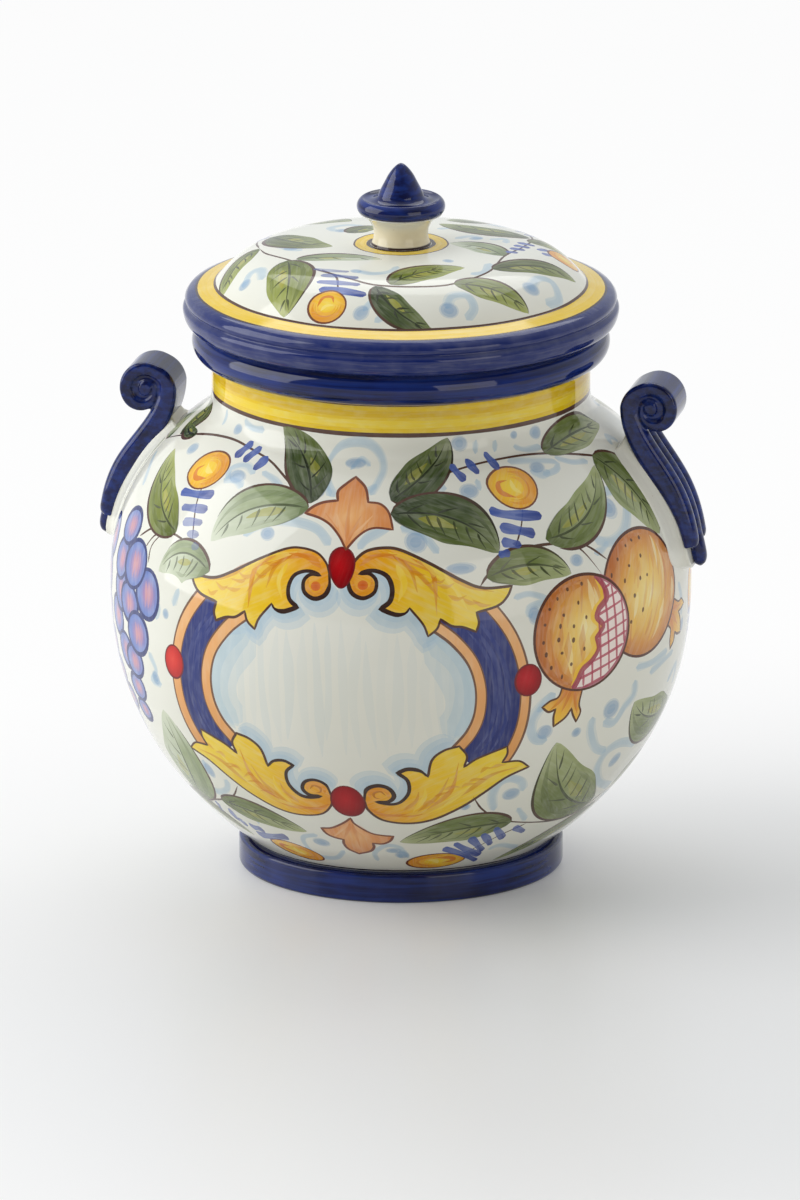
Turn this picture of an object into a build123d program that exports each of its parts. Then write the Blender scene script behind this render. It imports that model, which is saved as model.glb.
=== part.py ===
# Biscuit jar: a round, footed earthenware jar with a rolled mouth, a loose domed lid and two scroll handles.
# Millimetres, +Z up. The origin is the centre of the foot's standing face; the handles lie along X.
from build123d import *
from math import asin, atan2, degrees, radians, cos, sin, sqrt
import os

os.makedirs("parts", exist_ok=True)

# ---------------------------------------------------------------- driving dimensions
# Foot ring
foot_radius = 71.0
foot_height = 12.9
foot_ring_width = 13.0
foot_edge_round = 1.5

# Thrown body
wall = 6.5
floor_radius = 66.0
floor_rise_angle = 38.0
haunch_radius = 109.9
haunch_height = 60.0
belly_radius = 127.0
belly_height = 131.0
shoulder_arc = 85.5
neck_radius = 82.6
neck_height = 24.0
neck_fillet = 9.0

# Rolled mouth, a round coil pressed down over the top of the neck
mouth_tube = 7.5
mouth_bite = 1.7

# Handles: a three-ribbed strap on a clay pad, rolled outwards into a scroll
handle_width = 24.0
rib_count = 3
strap_thickness = 6.8
strap_slab = 4.4
pad_thickness = 3.6
strap_foot_rise = 19.0
middle_rib_drop = 9.0
strap_lift_angle = 28.0
scroll_radius = 11.7
scroll_edge_round = 1.2
scroll_stand_off = 23.7
scroll_angle = 49.0
eye_radius = 3.4
eye_groove_width = 1.8
eye_groove_depth = 2.5
pad_side_inset = 0.4
pad_top_lead = 4.0
pad_tip_round = 9.0

# Lid
lid_seat_gap = 0.3
lid_overhang = 4.0
lid_foot_inset = 4.1
lid_lip_rise = 7.2
lid_groove_rise = 9.3
lid_groove_depth = 1.9
lid_bead_rise = 11.9
lid_bead_inset = 1.0
lid_band_rise = 14.5
lid_band_inset = 2.6
dome_edge_inset = 13.9
dome_edge_rise = 17.4
dome_edge_angle = 50.0
dome_edge_pull = 22.0
dome_crown_pull = 60.0
dome_rise = 35.3
lid_crown_thickness = 6.5
lid_skirt_height = 13.0
vault_edge_pull = 9.0
vault_crown_pull = 46.0

# Locating flange under the lid
flange_clearance = 1.8
flange_wall = 5.8
flange_depth = 11.0
flange_edge_round = 1.6

# Knob: a waisted stem, a round button and a pointed finial on it
stem_foot_radius = 14.2
stem_waist_radius = 11.9
stem_waist_rise = 5.8
stem_top_radius = 18.0
stem_height = 14.0
stem_bite = 1.5
button_radius = 19.3
button_edge_rise = 3.3
button_top_radius = 17.0
button_height = 6.6
dish_radius = 13.5
dish_depth = 0.9
finial_foot_radius = 10.2
finial_foot_rise = 0.6
finial_middle_radius = 6.3
finial_middle_rise = 8.8
finial_height = 15.4

# ---------------------------------------------------------------- sizes that follow
neck_bore = neck_radius - wall
shoulder_centre = belly_radius - shoulder_arc
neck_foot = belly_height + sqrt(shoulder_arc**2 - (neck_radius - shoulder_centre) ** 2)
shoulder_sweep = degrees(atan2(neck_foot - belly_height, neck_radius - shoulder_centre))
neck_top = neck_foot + neck_height

mouth_radius = neck_bore + mouth_tube
mouth_height = neck_top + mouth_tube - mouth_bite
mouth_top = mouth_height + mouth_tube
mouth_outer_radius = mouth_radius + mouth_tube

lid_bottom = mouth_top + lid_seat_gap
lid_radius = mouth_outer_radius + lid_overhang
flange_outer_radius = neck_bore - flange_clearance
flange_inner_radius = flange_outer_radius - flange_wall
dome_top = lid_bottom + dome_rise
stem_top = dome_top + stem_height
button_top = stem_top + button_height

strap_arc = shoulder_arc + pad_thickness + strap_thickness / 2
strap_foot_height = belly_height + strap_foot_rise
strap_end_height = strap_foot_height - middle_rib_drop
strap_end_angle = degrees(asin((strap_end_height - belly_height) / strap_arc))
strap_bend = scroll_radius - strap_thickness / 2
scroll_centre_radius = shoulder_centre + (shoulder_arc + scroll_stand_off) * cos(radians(scroll_angle))
scroll_centre_height = belly_height + (shoulder_arc + scroll_stand_off) * sin(radians(scroll_angle))
pad_top_angle = scroll_angle + pad_top_lead
rib_width = handle_width / rib_count


# ---------------------------------------------------------------- foot ring
# A turned ring that the jar stands on; the hollow inside it is glazed like the rest of the underside.
with BuildPart() as foot_ring:
    with BuildSketch():
        Circle(foot_radius)
        Circle(foot_radius - foot_ring_width, mode=Mode.SUBTRACT)
    extrude(amount=foot_height)
    fillet(foot_ring.faces().sort_by(Axis.Z)[0].outer_wire().edges(), foot_edge_round)
foot_ring.part.label = "foot_ring"
export_step(foot_ring.part, "parts/foot_ring.step")


# ---------------------------------------------------------------- jar body
# One thrown wall: floor, belly, shoulder and neck. The solid form is turned first, then hollowed.
with BuildPart() as jar_form:
    with BuildSketch(Plane.XZ):
        with BuildLine():
            Line((0, foot_height), (floor_radius, foot_height))
            Spline(
                (floor_radius, foot_height),
                (haunch_radius, haunch_height),
                (belly_radius, belly_height),
                tangents=[(cos(radians(floor_rise_angle)), sin(radians(floor_rise_angle))), (0, 1)],
            )
            CenterArc((shoulder_centre, belly_height), shoulder_arc, 0, shoulder_sweep)
            Line((neck_radius, neck_foot), (neck_radius, neck_top))
            Line((neck_radius, neck_top), (0, neck_top))
            Line((0, neck_top), (0, foot_height))
        make_face()
        fillet(vertices().sort_by_distance((neck_radius, neck_foot))[0], neck_fillet)
    revolve(axis=Axis.Z)

with BuildPart() as jar_body:
    add(jar_form.part)
    offset(amount=-wall, openings=jar_body.faces().sort_by(Axis.Z)[-1])
jar_body.part.label = "jar_body"
export_step(jar_body.part, "parts/jar_body.step")


# ---------------------------------------------------------------- mouth ring
# The rolled mouth that the lid sits on.
with BuildPart() as mouth_ring:
    with BuildSketch(Plane.XZ):
        with Locations((mouth_radius, mouth_height)):
            Circle(mouth_tube)
    revolve(axis=Axis.Z)
    add(jar_form.part, mode=Mode.SUBTRACT)
mouth_ring.part.label = "mouth_ring"
export_step(mouth_ring.part, "parts/mouth_ring.step")


# ---------------------------------------------------------------- handles
# The strap runs up the shoulder beside the body, leaves it, and meets the scroll on its inner side.
with BuildLine(Plane.XZ) as strap_path:
    strap_low = CenterArc(
        (shoulder_centre, belly_height), strap_arc, strap_end_angle, strap_lift_angle - strap_end_angle
    )
    Spline(
        strap_low @ 1,
        (scroll_centre_radius - strap_bend, scroll_centre_height),
        tangents=[strap_low % 1, (0, 1)],
    )

strap_end_plane = Plane(
    origin=strap_path.wire() @ 0,
    x_dir=(0, 1, 0),
    z_dir=strap_path.wire() % 0,
)
scroll_plane = Plane(
    origin=(scroll_centre_radius, 0, scroll_centre_height),
    x_dir=(0, 1, 0),
    z_dir=(1, 0, 0),
)

with BuildPart() as handle_right:
    # Strap: a flat slab towards the jar, three rounded ribs outwards
    with BuildSketch(strap_end_plane):
        with Locations((0, (strap_thickness - strap_slab) / 2)):
            Rectangle(handle_width, strap_slab)
        with GridLocations(rib_width, 0, rib_count, 1):
            Ellipse(rib_width / 2, strap_thickness / 2)
    sweep(path=strap_path.wire())
    # Each rib ends in a rounded tip, and the middle one runs lower
    with BuildSketch(Plane.YZ.offset(belly_radius - strap_arc / 2)):
        with Locations((0, strap_end_height)):
            Rectangle(2 * handle_width, 2 * (middle_rib_drop + rib_width))
        for side, tip_height in ((-1, strap_foot_height), (0, strap_end_height), (1, strap_foot_height)):
            with Locations((side * rib_width, tip_height + rib_width / 2)):
                Circle(rib_width / 2, mode=Mode.SUBTRACT)
            with Locations((side * rib_width, tip_height + rib_width / 2)):
                Rectangle(rib_width, 2 * handle_width, align=(Align.CENTER, Align.MIN), mode=Mode.SUBTRACT)
    extrude(amount=strap_arc, mode=Mode.SUBTRACT)
    # Scroll: the strap rolled up with its flat side outwards, and an eye at each end
    with BuildSketch(scroll_plane):
        with Locations((0, scroll_radius / 2)):
            Rectangle(handle_width, scroll_radius)
        fillet(vertices().group_by(Axis.Y)[-1], scroll_edge_round)
        with Locations((0, eye_radius + eye_groove_width / 2)):
            with GridLocations(handle_width - eye_groove_depth, 0, 2, 1):
                Rectangle(eye_groove_depth, eye_groove_width, mode=Mode.SUBTRACT)
    revolve(axis=Axis(scroll_plane.origin, (0, 1, 0)))
handle_right.part.label = "handle_right"
export_step(handle_right.part, "parts/handle_right.step")

with BuildPart() as handle_left:
    mirror(handle_right.part, about=Plane.YZ)
handle_left.part.label = "handle_left"
export_step(handle_left.part, "parts/handle_left.step")


# ---------------------------------------------------------------- handle pads
# The bare clay that the strap is pressed onto: it fills the space between the strap and the shoulder.
with BuildPart() as handle_pad_right:
    with BuildSketch(Plane.XZ):
        with BuildLine():
            pad_outside = CenterArc(
                (shoulder_centre, belly_height), strap_arc, strap_end_angle, strap_lift_angle - strap_end_angle
            )
            pad_under_scroll = Spline(
                pad_outside @ 1,
                (scroll_centre_radius - strap_bend, scroll_centre_height),
                tangents=[pad_outside % 1, (0, 1)],
            )
            pad_inside = CenterArc(
                (shoulder_centre, belly_height),
                shoulder_arc - wall / 2,
                strap_end_angle,
                pad_top_angle - strap_end_angle,
            )
            Line(pad_under_scroll @ 1, pad_inside @ 1)
            Line(pad_outside @ 0, pad_inside @ 0)
        make_face()
    extrude(amount=handle_width / 2, both=True)
    with BuildSketch(Plane.YZ.offset(shoulder_centre)):
        with Locations((0, strap_end_height)):
            Rectangle(
                handle_width - 2 * pad_side_inset,
                scroll_centre_height - strap_end_height,
                align=(Align.CENTER, Align.MIN),
            )
        fillet(vertices().group_by(Axis.Y)[0], pad_tip_round)
    extrude(amount=belly_radius, mode=Mode.INTERSECT)
    add(jar_form.part, mode=Mode.SUBTRACT)
    add(handle_right.part, mode=Mode.SUBTRACT)
handle_pad_right.part.label = "handle_pad_right"
export_step(handle_pad_right.part, "parts/handle_pad_right.step")

with BuildPart() as handle_pad_left:
    mirror(handle_pad_right.part, about=Plane.YZ)
handle_pad_left.part.label = "handle_pad_left"
export_step(handle_pad_left.part, "parts/handle_pad_left.step")


# ---------------------------------------------------------------- lid
# A shallow dome on a moulded rim. Its flat underside sits on the crown of the rolled mouth.
with BuildPart() as lid:
    with BuildSketch(Plane.XZ):
        with BuildLine():
            lid_foot_radius = lid_radius - lid_foot_inset
            lid_groove_radius = lid_radius - lid_groove_depth
            Line((flange_inner_radius, lid_bottom), (lid_foot_radius, lid_bottom))
            EllipticalCenterArc(
                (lid_foot_radius, lid_bottom + lid_lip_rise),
                lid_foot_inset,
                lid_lip_rise,
                start_angle=270,
                arc_size=90,
            )
            EllipticalCenterArc(
                (lid_groove_radius, lid_bottom + lid_lip_rise),
                lid_groove_depth,
                lid_groove_rise - lid_lip_rise,
                start_angle=0,
                arc_size=90,
            )
            lid_bead = ThreePointArc(
                (lid_groove_radius, lid_bottom + lid_groove_rise),
                (lid_radius - lid_bead_inset, lid_bottom + lid_bead_rise),
                (lid_radius - lid_band_inset, lid_bottom + lid_band_rise),
            )
            lid_band = Line(lid_bead @ 1, (lid_radius - dome_edge_inset, lid_bottom + dome_edge_rise))
            Bezier(
                lid_band @ 1,
                (
                    (lid_band @ 1).X - dome_edge_pull * cos(radians(dome_edge_angle)),
                    (lid_band @ 1).Y + dome_edge_pull * sin(radians(dome_edge_angle)),
                ),
                (dome_crown_pull, dome_top),
                (0, dome_top),
            )
            Line((0, dome_top), (0, dome_top - lid_crown_thickness))
            Bezier(
                (0, dome_top - lid_crown_thickness),
                (vault_crown_pull, dome_top - lid_crown_thickness),
                (flange_inner_radius, lid_bottom + lid_skirt_height + vault_edge_pull),
                (flange_inner_radius, lid_bottom + lid_skirt_height),
            )
            Line((flange_inner_radius, lid_bottom + lid_skirt_height), (flange_inner_radius, lid_bottom))
        make_face()
    revolve(axis=Axis.Z)
lid.part.label = "lid"
export_step(lid.part, "parts/lid.step")


# ---------------------------------------------------------------- locating flange
# The ring under the lid that drops into the neck and keeps the lid central.
with BuildPart() as lid_flange:
    with BuildSketch(Plane.XY.offset(lid_bottom - flange_depth)):
        Circle(flange_outer_radius)
        Circle(flange_inner_radius, mode=Mode.SUBTRACT)
    extrude(amount=flange_depth)
    fillet(lid_flange.faces().sort_by(Axis.Z)[0].edges(), flange_edge_round)
lid_flange.part.label = "lid_flange"
export_step(lid_flange.part, "parts/lid_flange.step")


# ---------------------------------------------------------------- knob
with BuildPart() as knob_stem:
    with BuildSketch(Plane.XZ):
        with BuildLine():
            stem_side = ThreePointArc(
                (stem_foot_radius, dome_top - stem_bite),
                (stem_waist_radius, dome_top + stem_waist_rise),
                (stem_top_radius, stem_top),
            )
            Polyline(stem_side @ 1, (0, stem_top), (0, dome_top - stem_bite), stem_side @ 0)
        make_face()
    revolve(axis=Axis.Z)
    add(lid.part, mode=Mode.SUBTRACT)
knob_stem.part.label = "knob_stem"
export_step(knob_stem.part, "parts/knob_stem.step")

with BuildPart() as knob_cap:
    with BuildSketch(Plane.XZ):
        with BuildLine():
            button_edge = ThreePointArc(
                (stem_top_radius, stem_top),
                (button_radius, stem_top + button_edge_rise),
                (button_top_radius, button_top),
            )
            dish = ThreePointArc(
                button_edge @ 1,
                (dish_radius, button_top - dish_depth),
                (finial_foot_radius, button_top + finial_foot_rise),
            )
            finial = Spline(
                dish @ 1,
                (finial_middle_radius, button_top + finial_middle_rise),
                (0, button_top + finial_height),
                tangents=[(-0.3, 1), (-1, 0)],
            )
            Polyline(finial @ 1, (0, stem_top), button_edge @ 0)
        make_face()
    revolve(axis=Axis.Z)
knob_cap.part.label = "knob_cap"
export_step(knob_cap.part, "parts/knob_cap.step")
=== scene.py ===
# A round earthenware biscuit jar in the maiolica manner: foot, painted belly, rolled mouth, two scroll
# handles on clay pads, and a loose domed lid with a turned knob. Metres, standing on z = 0.
import math
import random

import bmesh
import bpy
import numpy as np
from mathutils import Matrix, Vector
from mathutils.geometry import delaunay_2d_cdt


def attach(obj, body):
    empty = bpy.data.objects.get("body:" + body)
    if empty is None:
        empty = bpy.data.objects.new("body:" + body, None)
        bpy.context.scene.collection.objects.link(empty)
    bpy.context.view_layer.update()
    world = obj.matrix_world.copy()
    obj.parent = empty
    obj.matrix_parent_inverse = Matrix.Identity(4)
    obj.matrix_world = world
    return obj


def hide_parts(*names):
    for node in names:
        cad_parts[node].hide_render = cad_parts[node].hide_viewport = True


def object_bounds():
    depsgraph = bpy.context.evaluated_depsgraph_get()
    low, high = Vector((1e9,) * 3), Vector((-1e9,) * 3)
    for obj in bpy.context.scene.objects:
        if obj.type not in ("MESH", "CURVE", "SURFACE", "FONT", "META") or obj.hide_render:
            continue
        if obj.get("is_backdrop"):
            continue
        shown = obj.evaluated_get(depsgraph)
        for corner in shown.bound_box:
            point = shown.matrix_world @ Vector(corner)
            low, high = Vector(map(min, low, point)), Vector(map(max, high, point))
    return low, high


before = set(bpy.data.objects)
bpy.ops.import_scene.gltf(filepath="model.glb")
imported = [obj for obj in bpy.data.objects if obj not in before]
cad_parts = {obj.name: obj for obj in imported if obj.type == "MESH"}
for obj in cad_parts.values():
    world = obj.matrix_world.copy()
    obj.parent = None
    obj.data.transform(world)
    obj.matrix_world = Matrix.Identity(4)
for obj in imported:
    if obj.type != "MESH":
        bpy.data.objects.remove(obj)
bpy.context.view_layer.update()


# ---------------------------------------------------------------- table, light and camera
# A pale table top seen from a little above, with one broad soft window on the left, a weaker sky light from above and
# behind, and a white card on the right. The table glows white for the camera and in reflections, except round a spot
# to the right of the jar. There it stays grey as painted shade, over and about the jar's cast shadow. Beyond that it
# runs out to white.
def math_node(tree, operation, a, b=None, c=None):
    node = tree.nodes.new("ShaderNodeMath")
    node.operation = operation
    for i, value in enumerate((a, b, c)):
        if value is None:
            continue
        if isinstance(value, (int, float)):
            node.inputs[i].default_value = value
        else:
            tree.links.new(value, node.inputs[i])
    return node.outputs[0]


def spread_node(tree, value, low, high, first=0.0, last=1.0):
    node = tree.nodes.new("ShaderNodeMapRange")
    node.interpolation_type = "SMOOTHSTEP"
    for label, number in (("From Min", low), ("From Max", high), ("To Min", first), ("To Max", last)):
        node.inputs[label].default_value = number
    tree.links.new(value, node.inputs["Value"])
    return node.outputs["Result"]


def measure_node(tree, operation, coordinate, place):
    """the distance from a place, or how far along a direction, as one number"""
    node = tree.nodes.new("ShaderNodeVectorMath")
    node.operation = operation
    tree.links.new(tree.nodes.new("ShaderNodeTexCoord").outputs[coordinate], node.inputs[0])
    node.inputs[1].default_value = place
    return node.outputs["Value"]


TABLE_HALF = 6.0
PAINTED_SHADE_MIDDLE = (0.20, -0.20, 0)
table_mesh = bpy.data.meshes.new("table_top")
bm = bmesh.new()
bmesh.ops.create_grid(bm, x_segments=1, y_segments=1, size=TABLE_HALF)
bm.to_mesh(table_mesh)
bm.free()
table = bpy.data.objects.new("table_top", table_mesh)
bpy.context.scene.collection.objects.link(table)
table_paint = bpy.data.materials.new("pale_table")
table_paint.use_nodes = True
nt = table_paint.node_tree
shader = nt.nodes["Principled BSDF"]
shader.inputs["Base Color"].default_value = (0.74, 0.74, 0.73, 1)
shader.inputs["Roughness"].default_value = 0.35
shader.inputs["Specular IOR Level"].default_value = 0.35
glow = nt.nodes.new("ShaderNodeEmission")
glow.inputs["Color"].default_value = (1, 1, 1, 1)
rays = nt.nodes.new("ShaderNodeLightPath").outputs
shown = math_node(nt, "MAXIMUM", rays["Is Camera Ray"], rays["Is Glossy Ray"])
shown = math_node(nt, "MAXIMUM", shown, rays["Is Transmission Ray"])
# There is no glow round a spot to the right of the jar, so the table stays grey there: painted shade added to the
# shadow that the lamps cast.
fade = spread_node(nt, measure_node(nt, "DISTANCE", "Object", PAINTED_SHADE_MIDDLE), 0.14, 0.62, 0.05, 0.93)
mix = nt.nodes.new("ShaderNodeMixShader")
nt.links.new(math_node(nt, "MULTIPLY", fade, shown), mix.inputs["Fac"])
nt.links.new(shader.outputs["BSDF"], mix.inputs[1])
nt.links.new(glow.outputs["Emission"], mix.inputs[2])
nt.links.new(mix.outputs["Shader"], nt.nodes["Material Output"].inputs["Surface"])
table_mesh.materials.append(table_paint)
table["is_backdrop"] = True

# The room is bright behind the jar and dim in front of it, and shows as plain white.
DIM_SIDE = (0.25, -0.92, -0.25)
world = bpy.data.worlds.new("studio_air")
bpy.context.scene.world = world
world.use_nodes = True
nt = world.node_tree
air = nt.nodes["Background"]
air.inputs["Color"].default_value = (0.93, 0.96, 1.0, 1)
dusk = spread_node(nt, measure_node(nt, "DOT_PRODUCT", "Generated", DIM_SIDE), -0.35, 0.75, 0.80, 0.14)
nt.links.new(dusk, air.inputs["Strength"])
seen = nt.nodes.new("ShaderNodeBackground")
seen.inputs["Color"].default_value = (1, 1, 1, 1)
seen.inputs["Strength"].default_value = 0.92
rays = nt.nodes.new("ShaderNodeLightPath").outputs
mix = nt.nodes.new("ShaderNodeMixShader")
nt.links.new(math_node(nt, "MAXIMUM", rays["Is Camera Ray"], rays["Is Transmission Ray"]), mix.inputs["Fac"])
nt.links.new(air.outputs["Background"], mix.inputs[1])
nt.links.new(seen.outputs["Background"], mix.inputs[2])
nt.links.new(mix.outputs["Shader"], nt.nodes["World Output"].inputs["Surface"])


def soft_light(name, place, aim, width, height, power, colour=(1, 1, 1)):
    lamp = bpy.data.lights.new(name, "AREA")
    lamp.shape = "RECTANGLE"
    lamp.size, lamp.size_y = width, height
    lamp.energy = power
    lamp.color = colour
    holder = bpy.data.objects.new(name, lamp)
    holder.location = place
    holder.rotation_mode = "QUATERNION"
    holder.rotation_quaternion = (Vector(aim) - Vector(place)).to_track_quat("-Z", "Y")
    bpy.context.scene.collection.objects.link(holder)


soft_light("window", (-1.35, -0.45, 0.75), (0, 0, 0.14), 1.3, 1.5, 18.5)
soft_light("sky_light", (-0.1, 0.75, 1.25), (0, 0, 0.15), 1.3, 0.7, 5.5)
soft_light("white_card", (1.1, -1.0, 0.55), (0, 0, 0.14), 0.9, 0.9, 5.0, (1, 0.95, 0.87))

VIEW_FROM = math.radians(12.0)
VIEW_ABOVE = math.radians(15.7)
VIEW_DISTANCE = 9.0
VIEW_HEIGHT = 0.52464
SENSOR = 36.0
aim_at = Vector((-0.00043, -0.00009, 0.11758))
towards_camera = Vector(
    (
        math.sin(VIEW_FROM) * math.cos(VIEW_ABOVE),
        -math.cos(VIEW_FROM) * math.cos(VIEW_ABOVE),
        math.sin(VIEW_ABOVE),
    )
)
lens = bpy.data.cameras.new("camera")
lens.sensor_fit = "VERTICAL"
lens.sensor_height = SENSOR
lens.lens = SENSOR * VIEW_DISTANCE / VIEW_HEIGHT
lens.clip_start, lens.clip_end = 0.1, 50
camera = bpy.data.objects.new("camera", lens)
camera.location = aim_at + towards_camera * VIEW_DISTANCE
camera.rotation_mode = "QUATERNION"
camera.rotation_quaternion = (-towards_camera).to_track_quat("-Z", "Y")
bpy.context.scene.collection.objects.link(camera)
bpy.context.scene.camera = camera
bpy.context.scene.view_settings.view_transform = "Standard"


# ---------------------------------------------------------------- foot ring
# A turned ring of the same clay that the jar stands on, dipped in cobalt glaze.
# The glaze pools and thins in streaks that run round it, as the wheel left them.
MM = 0.001


def arc(centre, radius, first, last, steps=8):
    """points along part of a circle in a turned profile, angles in degrees"""
    turns = np.radians(np.linspace(first, last, steps + 1))
    return [(centre[0] + radius * math.cos(a), centre[1] + radius * math.sin(a)) for a in turns]


def turn_on_wheel(profile, steps=192, closed=True):
    """spins a profile of (radius, height) in mm round the jar's axis, from the front"""
    made = bmesh.new()
    corners = [made.verts.new((0, -r * MM, z * MM)) for r, z in profile]
    rim = [made.edges.new((a, b)) for a, b in zip(corners, corners[1:])]
    if closed:
        rim.append(made.edges.new((corners[-1], corners[0])))
    bmesh.ops.spin(
        made, geom=rim + corners, cent=(0, 0, 0), axis=(0, 0, 1), angle=math.tau, steps=steps, use_merge=True
    )
    bmesh.ops.remove_doubles(made, verts=made.verts, dist=1e-6)
    bmesh.ops.recalc_face_normals(made, faces=made.faces)
    return made


def set_mesh(mesh, name, body, finish, slot, *nodes):
    """makes a mesh an object that rides on its body and stands for its CAD node"""
    mesh.materials.clear()
    mesh.materials.append(finish)
    piece = bpy.data.objects.new(name, mesh)
    bpy.context.scene.collection.objects.link(piece)
    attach(piece, body)
    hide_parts(*nodes)


def set_piece(made, name, body, finish, slot, *nodes):
    """the same for a turned piece, straight off the wheel"""
    mesh = bpy.data.meshes.new(name)
    made.to_mesh(mesh)
    made.free()
    mesh.shade_smooth()
    set_mesh(mesh, name, body, finish, slot, *nodes)


def group_of_nodes(name, inputs, outputs):
    made = bpy.data.node_groups.new(name, "ShaderNodeTree")
    for label, kind, value in inputs:
        socket = made.interface.new_socket(name=label, in_out="INPUT", socket_type=kind)
        if value is not None:
            socket.default_value = value
    for label, kind in outputs:
        made.interface.new_socket(name=label, in_out="OUTPUT", socket_type=kind)
    return made, made.nodes.new("NodeGroupInput"), made.nodes.new("NodeGroupOutput")


def noise_node(tree, vector, scale, detail=2.0, roughness=0.5, distortion=0.0):
    node = tree.nodes.new("ShaderNodeTexNoise")
    node.inputs["Scale"].default_value = scale
    node.inputs["Detail"].default_value = detail
    node.inputs["Roughness"].default_value = roughness
    node.inputs["Distortion"].default_value = distortion
    tree.links.new(vector, node.inputs["Vector"])
    return node.outputs["Fac"]


def blend_node(tree, share, a, b, way="MIX"):
    node = tree.nodes.new("ShaderNodeMix")
    node.data_type = "RGBA"
    node.blend_type = way
    for socket, value in ((node.inputs[0], share), (node.inputs[6], a), (node.inputs[7], b)):
        if isinstance(value, (int, float)):
            socket.default_value = value
        elif isinstance(value, tuple):
            socket.default_value = (*value, 1)
        else:
            tree.links.new(value, socket)
    return node.outputs[2]


# The skin of the glaze: slow waves where it ran, fine orange peel, and a gloss that wanders a little.
glaze_skin, enter, leave = group_of_nodes(
    "glaze_skin",
    [("Waves", "NodeSocketFloat", 1.0)],
    [("Roughness", "NodeSocketFloat"), ("Height", "NodeSocketFloat")],
)
where = glaze_skin.nodes.new("ShaderNodeTexCoord").outputs["Object"]
slow = noise_node(glaze_skin, where, 22.0, 1.0)
fine = noise_node(glaze_skin, where, 160.0, 2.0)
height = math_node(glaze_skin, "MULTIPLY", slow, enter.outputs["Waves"])
height = math_node(glaze_skin, "MULTIPLY_ADD", fine, 0.06, height)
glaze_skin.links.new(height, leave.inputs["Height"])
glaze_skin.links.new(spread_node(glaze_skin, fine, 0.3, 0.75, 0.045, 0.10), leave.inputs["Roughness"])

# Streaks that a loaded brush leaves on a turning pot: they run round the piece.
wheel_streaks, enter, leave = group_of_nodes(
    "wheel_streaks",
    [("Fineness", "NodeSocketFloat", 1.0)],
    [("Streak", "NodeSocketFloat"), ("Pool", "NodeSocketFloat")],
)
tree = wheel_streaks
where = tree.nodes.new("ShaderNodeTexCoord").outputs["Object"]
split = tree.nodes.new("ShaderNodeSeparateXYZ")
tree.links.new(where, split.inputs[0])
x, y, z = split.outputs
around = math_node(tree, "ARCTAN2", x, y)
squares = math_node(tree, "ADD", math_node(tree, "POWER", x, 2.0), math_node(tree, "POWER", y, 2.0))
outward = math_node(tree, "MULTIPLY", math_node(tree, "SQRT", squares), 260.0)
join = tree.nodes.new("ShaderNodeCombineXYZ")
tree.links.new(math_node(tree, "MULTIPLY", math_node(tree, "SINE", around), 1.3), join.inputs[0])
tree.links.new(math_node(tree, "MULTIPLY_ADD", math_node(tree, "COSINE", around), 1.3, outward), join.inputs[1])
tree.links.new(math_node(tree, "MULTIPLY", z, 420.0), join.inputs[2])
scaled = tree.nodes.new("ShaderNodeVectorMath")
scaled.operation = "SCALE"
tree.links.new(join.outputs[0], scaled.inputs[0])
tree.links.new(enter.outputs["Fineness"], scaled.inputs["Scale"])
streak = noise_node(tree, scaled.outputs[0], 1.0, 3.0, 0.6)
pool = noise_node(tree, where, 60.0, 2.0)
tree.links.new(spread_node(tree, streak, 0.35, 0.7), leave.inputs["Streak"])
tree.links.new(spread_node(tree, pool, 0.35, 0.7), leave.inputs["Pool"])


def glaze(name, colour_maker, bump=0.35):
    """a glossy fired glaze: colour_maker wires up the colour, the rest is the same on every piece"""
    finish = bpy.data.materials.new(name)
    finish.use_nodes = True
    tree = finish.node_tree
    shader = tree.nodes["Principled BSDF"]
    shader.inputs["IOR"].default_value = 1.43
    skin = tree.nodes.new("ShaderNodeGroup")
    skin.node_tree = glaze_skin
    relief = tree.nodes.new("ShaderNodeBump")
    relief.inputs["Strength"].default_value = bump
    relief.inputs["Distance"].default_value = 0.0006
    tree.links.new(skin.outputs["Height"], relief.inputs["Height"])
    tree.links.new(relief.outputs["Normal"], shader.inputs["Normal"])
    tree.links.new(skin.outputs["Roughness"], shader.inputs["Roughness"])
    tree.links.new(colour_maker(tree), shader.inputs["Base Color"])
    return finish


def dye(code, cover=1.0):
    """a pigment from its screen colour, as linear red, green, blue and how thickly it covers"""
    parts = [int(code[i : i + 2], 16) / 255 for i in (0, 2, 4)]
    return np.array([c / 12.92 if c <= 0.04045 else ((c + 0.055) / 1.055) ** 2.4 for c in parts] + [cover])


def plain(code):
    """the same as red, green and blue alone, for a shader"""
    return tuple(dye(code)[:3])


def cobalt_colour(tree):
    streaks = tree.nodes.new("ShaderNodeGroup")
    streaks.node_tree = wheel_streaks
    deep = blend_node(tree, streaks.outputs["Pool"], plain("060b36"), plain("0d1854"))
    return blend_node(tree, math_node(tree, "MULTIPLY", streaks.outputs["Streak"], 0.5), deep, plain("1c3d92"))


cobalt_glaze = glaze("cobalt_glaze", cobalt_colour)
foot_outer, foot_inner, foot_top = 71.0, 58.0, 12.9
foot = turn_on_wheel(
    arc((foot_outer - 2.0, 2.0), 2.0, -90, 0)
    + arc((foot_outer - 1.4, foot_top - 1.5), 1.4, 0, 90)
    + [(foot_inner + 6, foot_top - 0.05)]
    + arc((foot_inner + 1.2, foot_top - 1.3), 1.2, 90, 180)
    + arc((foot_inner + 1.5, 1.5), 1.5, 180, 270)
)
set_piece(foot, "foot_ring_glazed", "jar", cobalt_glaze, "cobalt_glaze", "foot_ring")


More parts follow.
